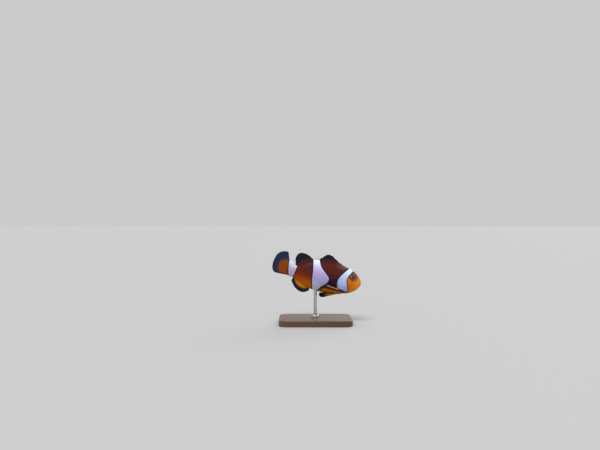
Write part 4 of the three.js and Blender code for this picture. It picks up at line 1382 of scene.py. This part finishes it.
# ---- Stand ----
BASE_LENGTH, BASE_WIDTH, BASE_THICKNESS = 62.0, 42.0, 5.0
BASE_CORNER, BASE_CHAMFER = 7.0, 0.8
ROD_BOTTOM, ROD_TOP = 2.0, 33.0
COLLAR_RADIUS, COLLAR_TOP, COLLAR_EASE = 3.4, 7.5, 1.1
COLLAR_FIT = 0.1  # the collar's bore lies this far inside the rod's surface


def finished(shape, name, material, node_name, slot):
    """Turns a bmesh in millimetres into a piece that stands for one CAD node."""
    bmesh.ops.scale(shape, vec=(METRE, METRE, METRE), verts=shape.verts[:])
    fit_in(new_piece(name, mesh_of(shape, name), [material], smooth_to=40), slot, node_name)


def eased(shape, edges, offset, segments):
    """Rounds some of a shape's edges."""
    bmesh.ops.bevel(
        shape, geom=edges, offset=offset, segments=segments, profile=0.5, affect="EDGES", material=-1,
    )


def make_base(material):
    """A flat walnut plate with round corners and softened edges."""
    plate = bmesh.new()
    bmesh.ops.create_cube(plate, size=1.0)
    bmesh.ops.scale(plate, vec=(BASE_LENGTH, BASE_WIDTH, BASE_THICKNESS), verts=plate.verts[:])
    bmesh.ops.translate(plate, vec=(0, 0, BASE_THICKNESS / 2), verts=plate.verts[:])
    eased(plate, [e for e in plate.edges if abs(e.verts[0].co.z - e.verts[1].co.z) > 1], BASE_CORNER, 14)
    level = [e for e in plate.edges if abs(e.verts[0].co.z - e.verts[1].co.z) < 1e-4]
    eased(plate, [e for e in level if any(abs(f.normal.z) < 0.5 for f in e.link_faces)], BASE_CHAMFER, 5)
    finished(plate, "base_plate", material, "stand_base", "base_wood")


def make_rod(material):
    rod = bmesh.new()
    bmesh.ops.create_cone(
        rod, cap_ends=True, segments=48, radius1=ROD_RADIUS, radius2=ROD_RADIUS, depth=ROD_TOP - ROD_BOTTOM,
    )
    bmesh.ops.translate(rod, vec=(0, 0, (ROD_TOP + ROD_BOTTOM) / 2), verts=rod.verts[:])
    finished(rod, "upright_rod", material, "stand_rod", "rod_steel")


def make_collar(material):
    """A turned collar round the rod's foot, spun from its profile."""
    collar = bmesh.new()
    bore, shoulder = ROD_RADIUS - COLLAR_FIT, COLLAR_TOP - COLLAR_EASE
    profile = [(bore, BASE_THICKNESS), (COLLAR_RADIUS, BASE_THICKNESS), (COLLAR_RADIUS, shoulder)]
    for turn in np.linspace(0, math.pi / 2, 9)[1:]:
        reach = COLLAR_RADIUS - COLLAR_EASE * (1 - math.cos(turn))
        profile.append((reach, shoulder + COLLAR_EASE * math.sin(turn)))
    profile.append((bore, COLLAR_TOP))
    verts = [collar.verts.new((x, 0, z)) for x, z in profile]
    edges = [collar.edges.new(pair) for pair in zip(verts, verts[1:] + verts[:1])]
    bmesh.ops.spin(
        collar, geom=verts + edges, axis=(0, 0, 1), cent=(0, 0, 0), steps=64, angle=2 * math.pi,
        use_merge=True,
    )
    bmesh.ops.remove_doubles(collar, verts=collar.verts[:], dist=1e-4)
    bmesh.ops.recalc_face_normals(collar, faces=collar.faces[:])
    finished(collar, "rod_collar", material, "stand_collar", "rod_steel")


# ---- Scene ----
CAMERA_PLACE = (-0.01309, -0.50539, 0.08427)
CAMERA_LENS, CAMERA_SENSOR = 35.34, 36.0
CAMERA_NEAR, CAMERA_FAR = 0.01, 60.0
FLOOR_HALF = 30.0
AMBIENT = 0.6
# Softboxes far off: name, direction, power, width in degrees, colour.
SOFTBOXES = (
    ("key", (-0.25, -0.6, 0.85), 1.9, 28, "#fffdfa"),
    ("rear_fill", (0.45, 0.75, 0.6), 0.8, 40, "#fbfdff"),
)


def make_floor():
    """A plain pale floor, large enough to meet the background."""
    sheet = bmesh.new()
    bmesh.ops.create_grid(sheet, x_segments=1, y_segments=1, size=FLOOR_HALF)
    material, tree = new_material("pale_floor")
    shader = node(tree, "ShaderNodeBsdfPrincipled", {
        "Base Color": "#bdbdbe", "Roughness": 0.9, "Specular IOR Level": 0.1,
    })
    node(tree, "ShaderNodeOutputMaterial", {"Surface": shader})
    new_piece("floor", mesh_of(sheet, "floor"), [material])


def add_softbox(name, towards, power, width, colour):
    lamp = bpy.data.lights.new(name, "SUN")
    lamp.energy = power
    lamp.angle = math.radians(width)
    lamp.color = linear(colour)[:3]
    holder = bpy.data.objects.new(name, lamp)
    holder.rotation_euler = Vector(towards).to_track_quat("Z", "Y").to_euler()
    bpy.context.scene.collection.objects.link(holder)


def make_studio():
    scene = bpy.context.scene
    scene.view_settings.view_transform = "Standard"
    world = bpy.data.worlds.new("studio")
    scene.world = world
    world.use_nodes = True
    background = world.node_tree.nodes["Background"]
    background.inputs["Color"].default_value = linear("#ffffff")
    background.inputs["Strength"].default_value = AMBIENT
    for softbox in SOFTBOXES:
        add_softbox(*softbox)
    camera = bpy.data.cameras.new("camera")
    camera.lens = CAMERA_LENS
    camera.sensor_width = CAMERA_SENSOR
    camera.clip_start = CAMERA_NEAR
    camera.clip_end = CAMERA_FAR
    holder = bpy.data.objects.new("camera", camera)
    holder.location = CAMERA_PLACE
    holder.rotation_euler = (math.pi / 2, 0, 0)
    scene.collection.objects.link(holder)
    scene.camera = holder


make_studio()
make_floor()
body_paint = fish_paint("painted_resin_skin", paired=False)
paired_fin_paint = fish_paint("painted_resin_fins", paired=True)
make_skin(body_paint, paired_fin_paint)
make_scales(body_paint)
eye_material = eye_glass()
for side_name, side_sign in SIDES:
    make_eye(side_name, side_sign, eye_material)
make_base(walnut())
steel = brushed_steel()
make_rod(steel)
make_collar(steel)
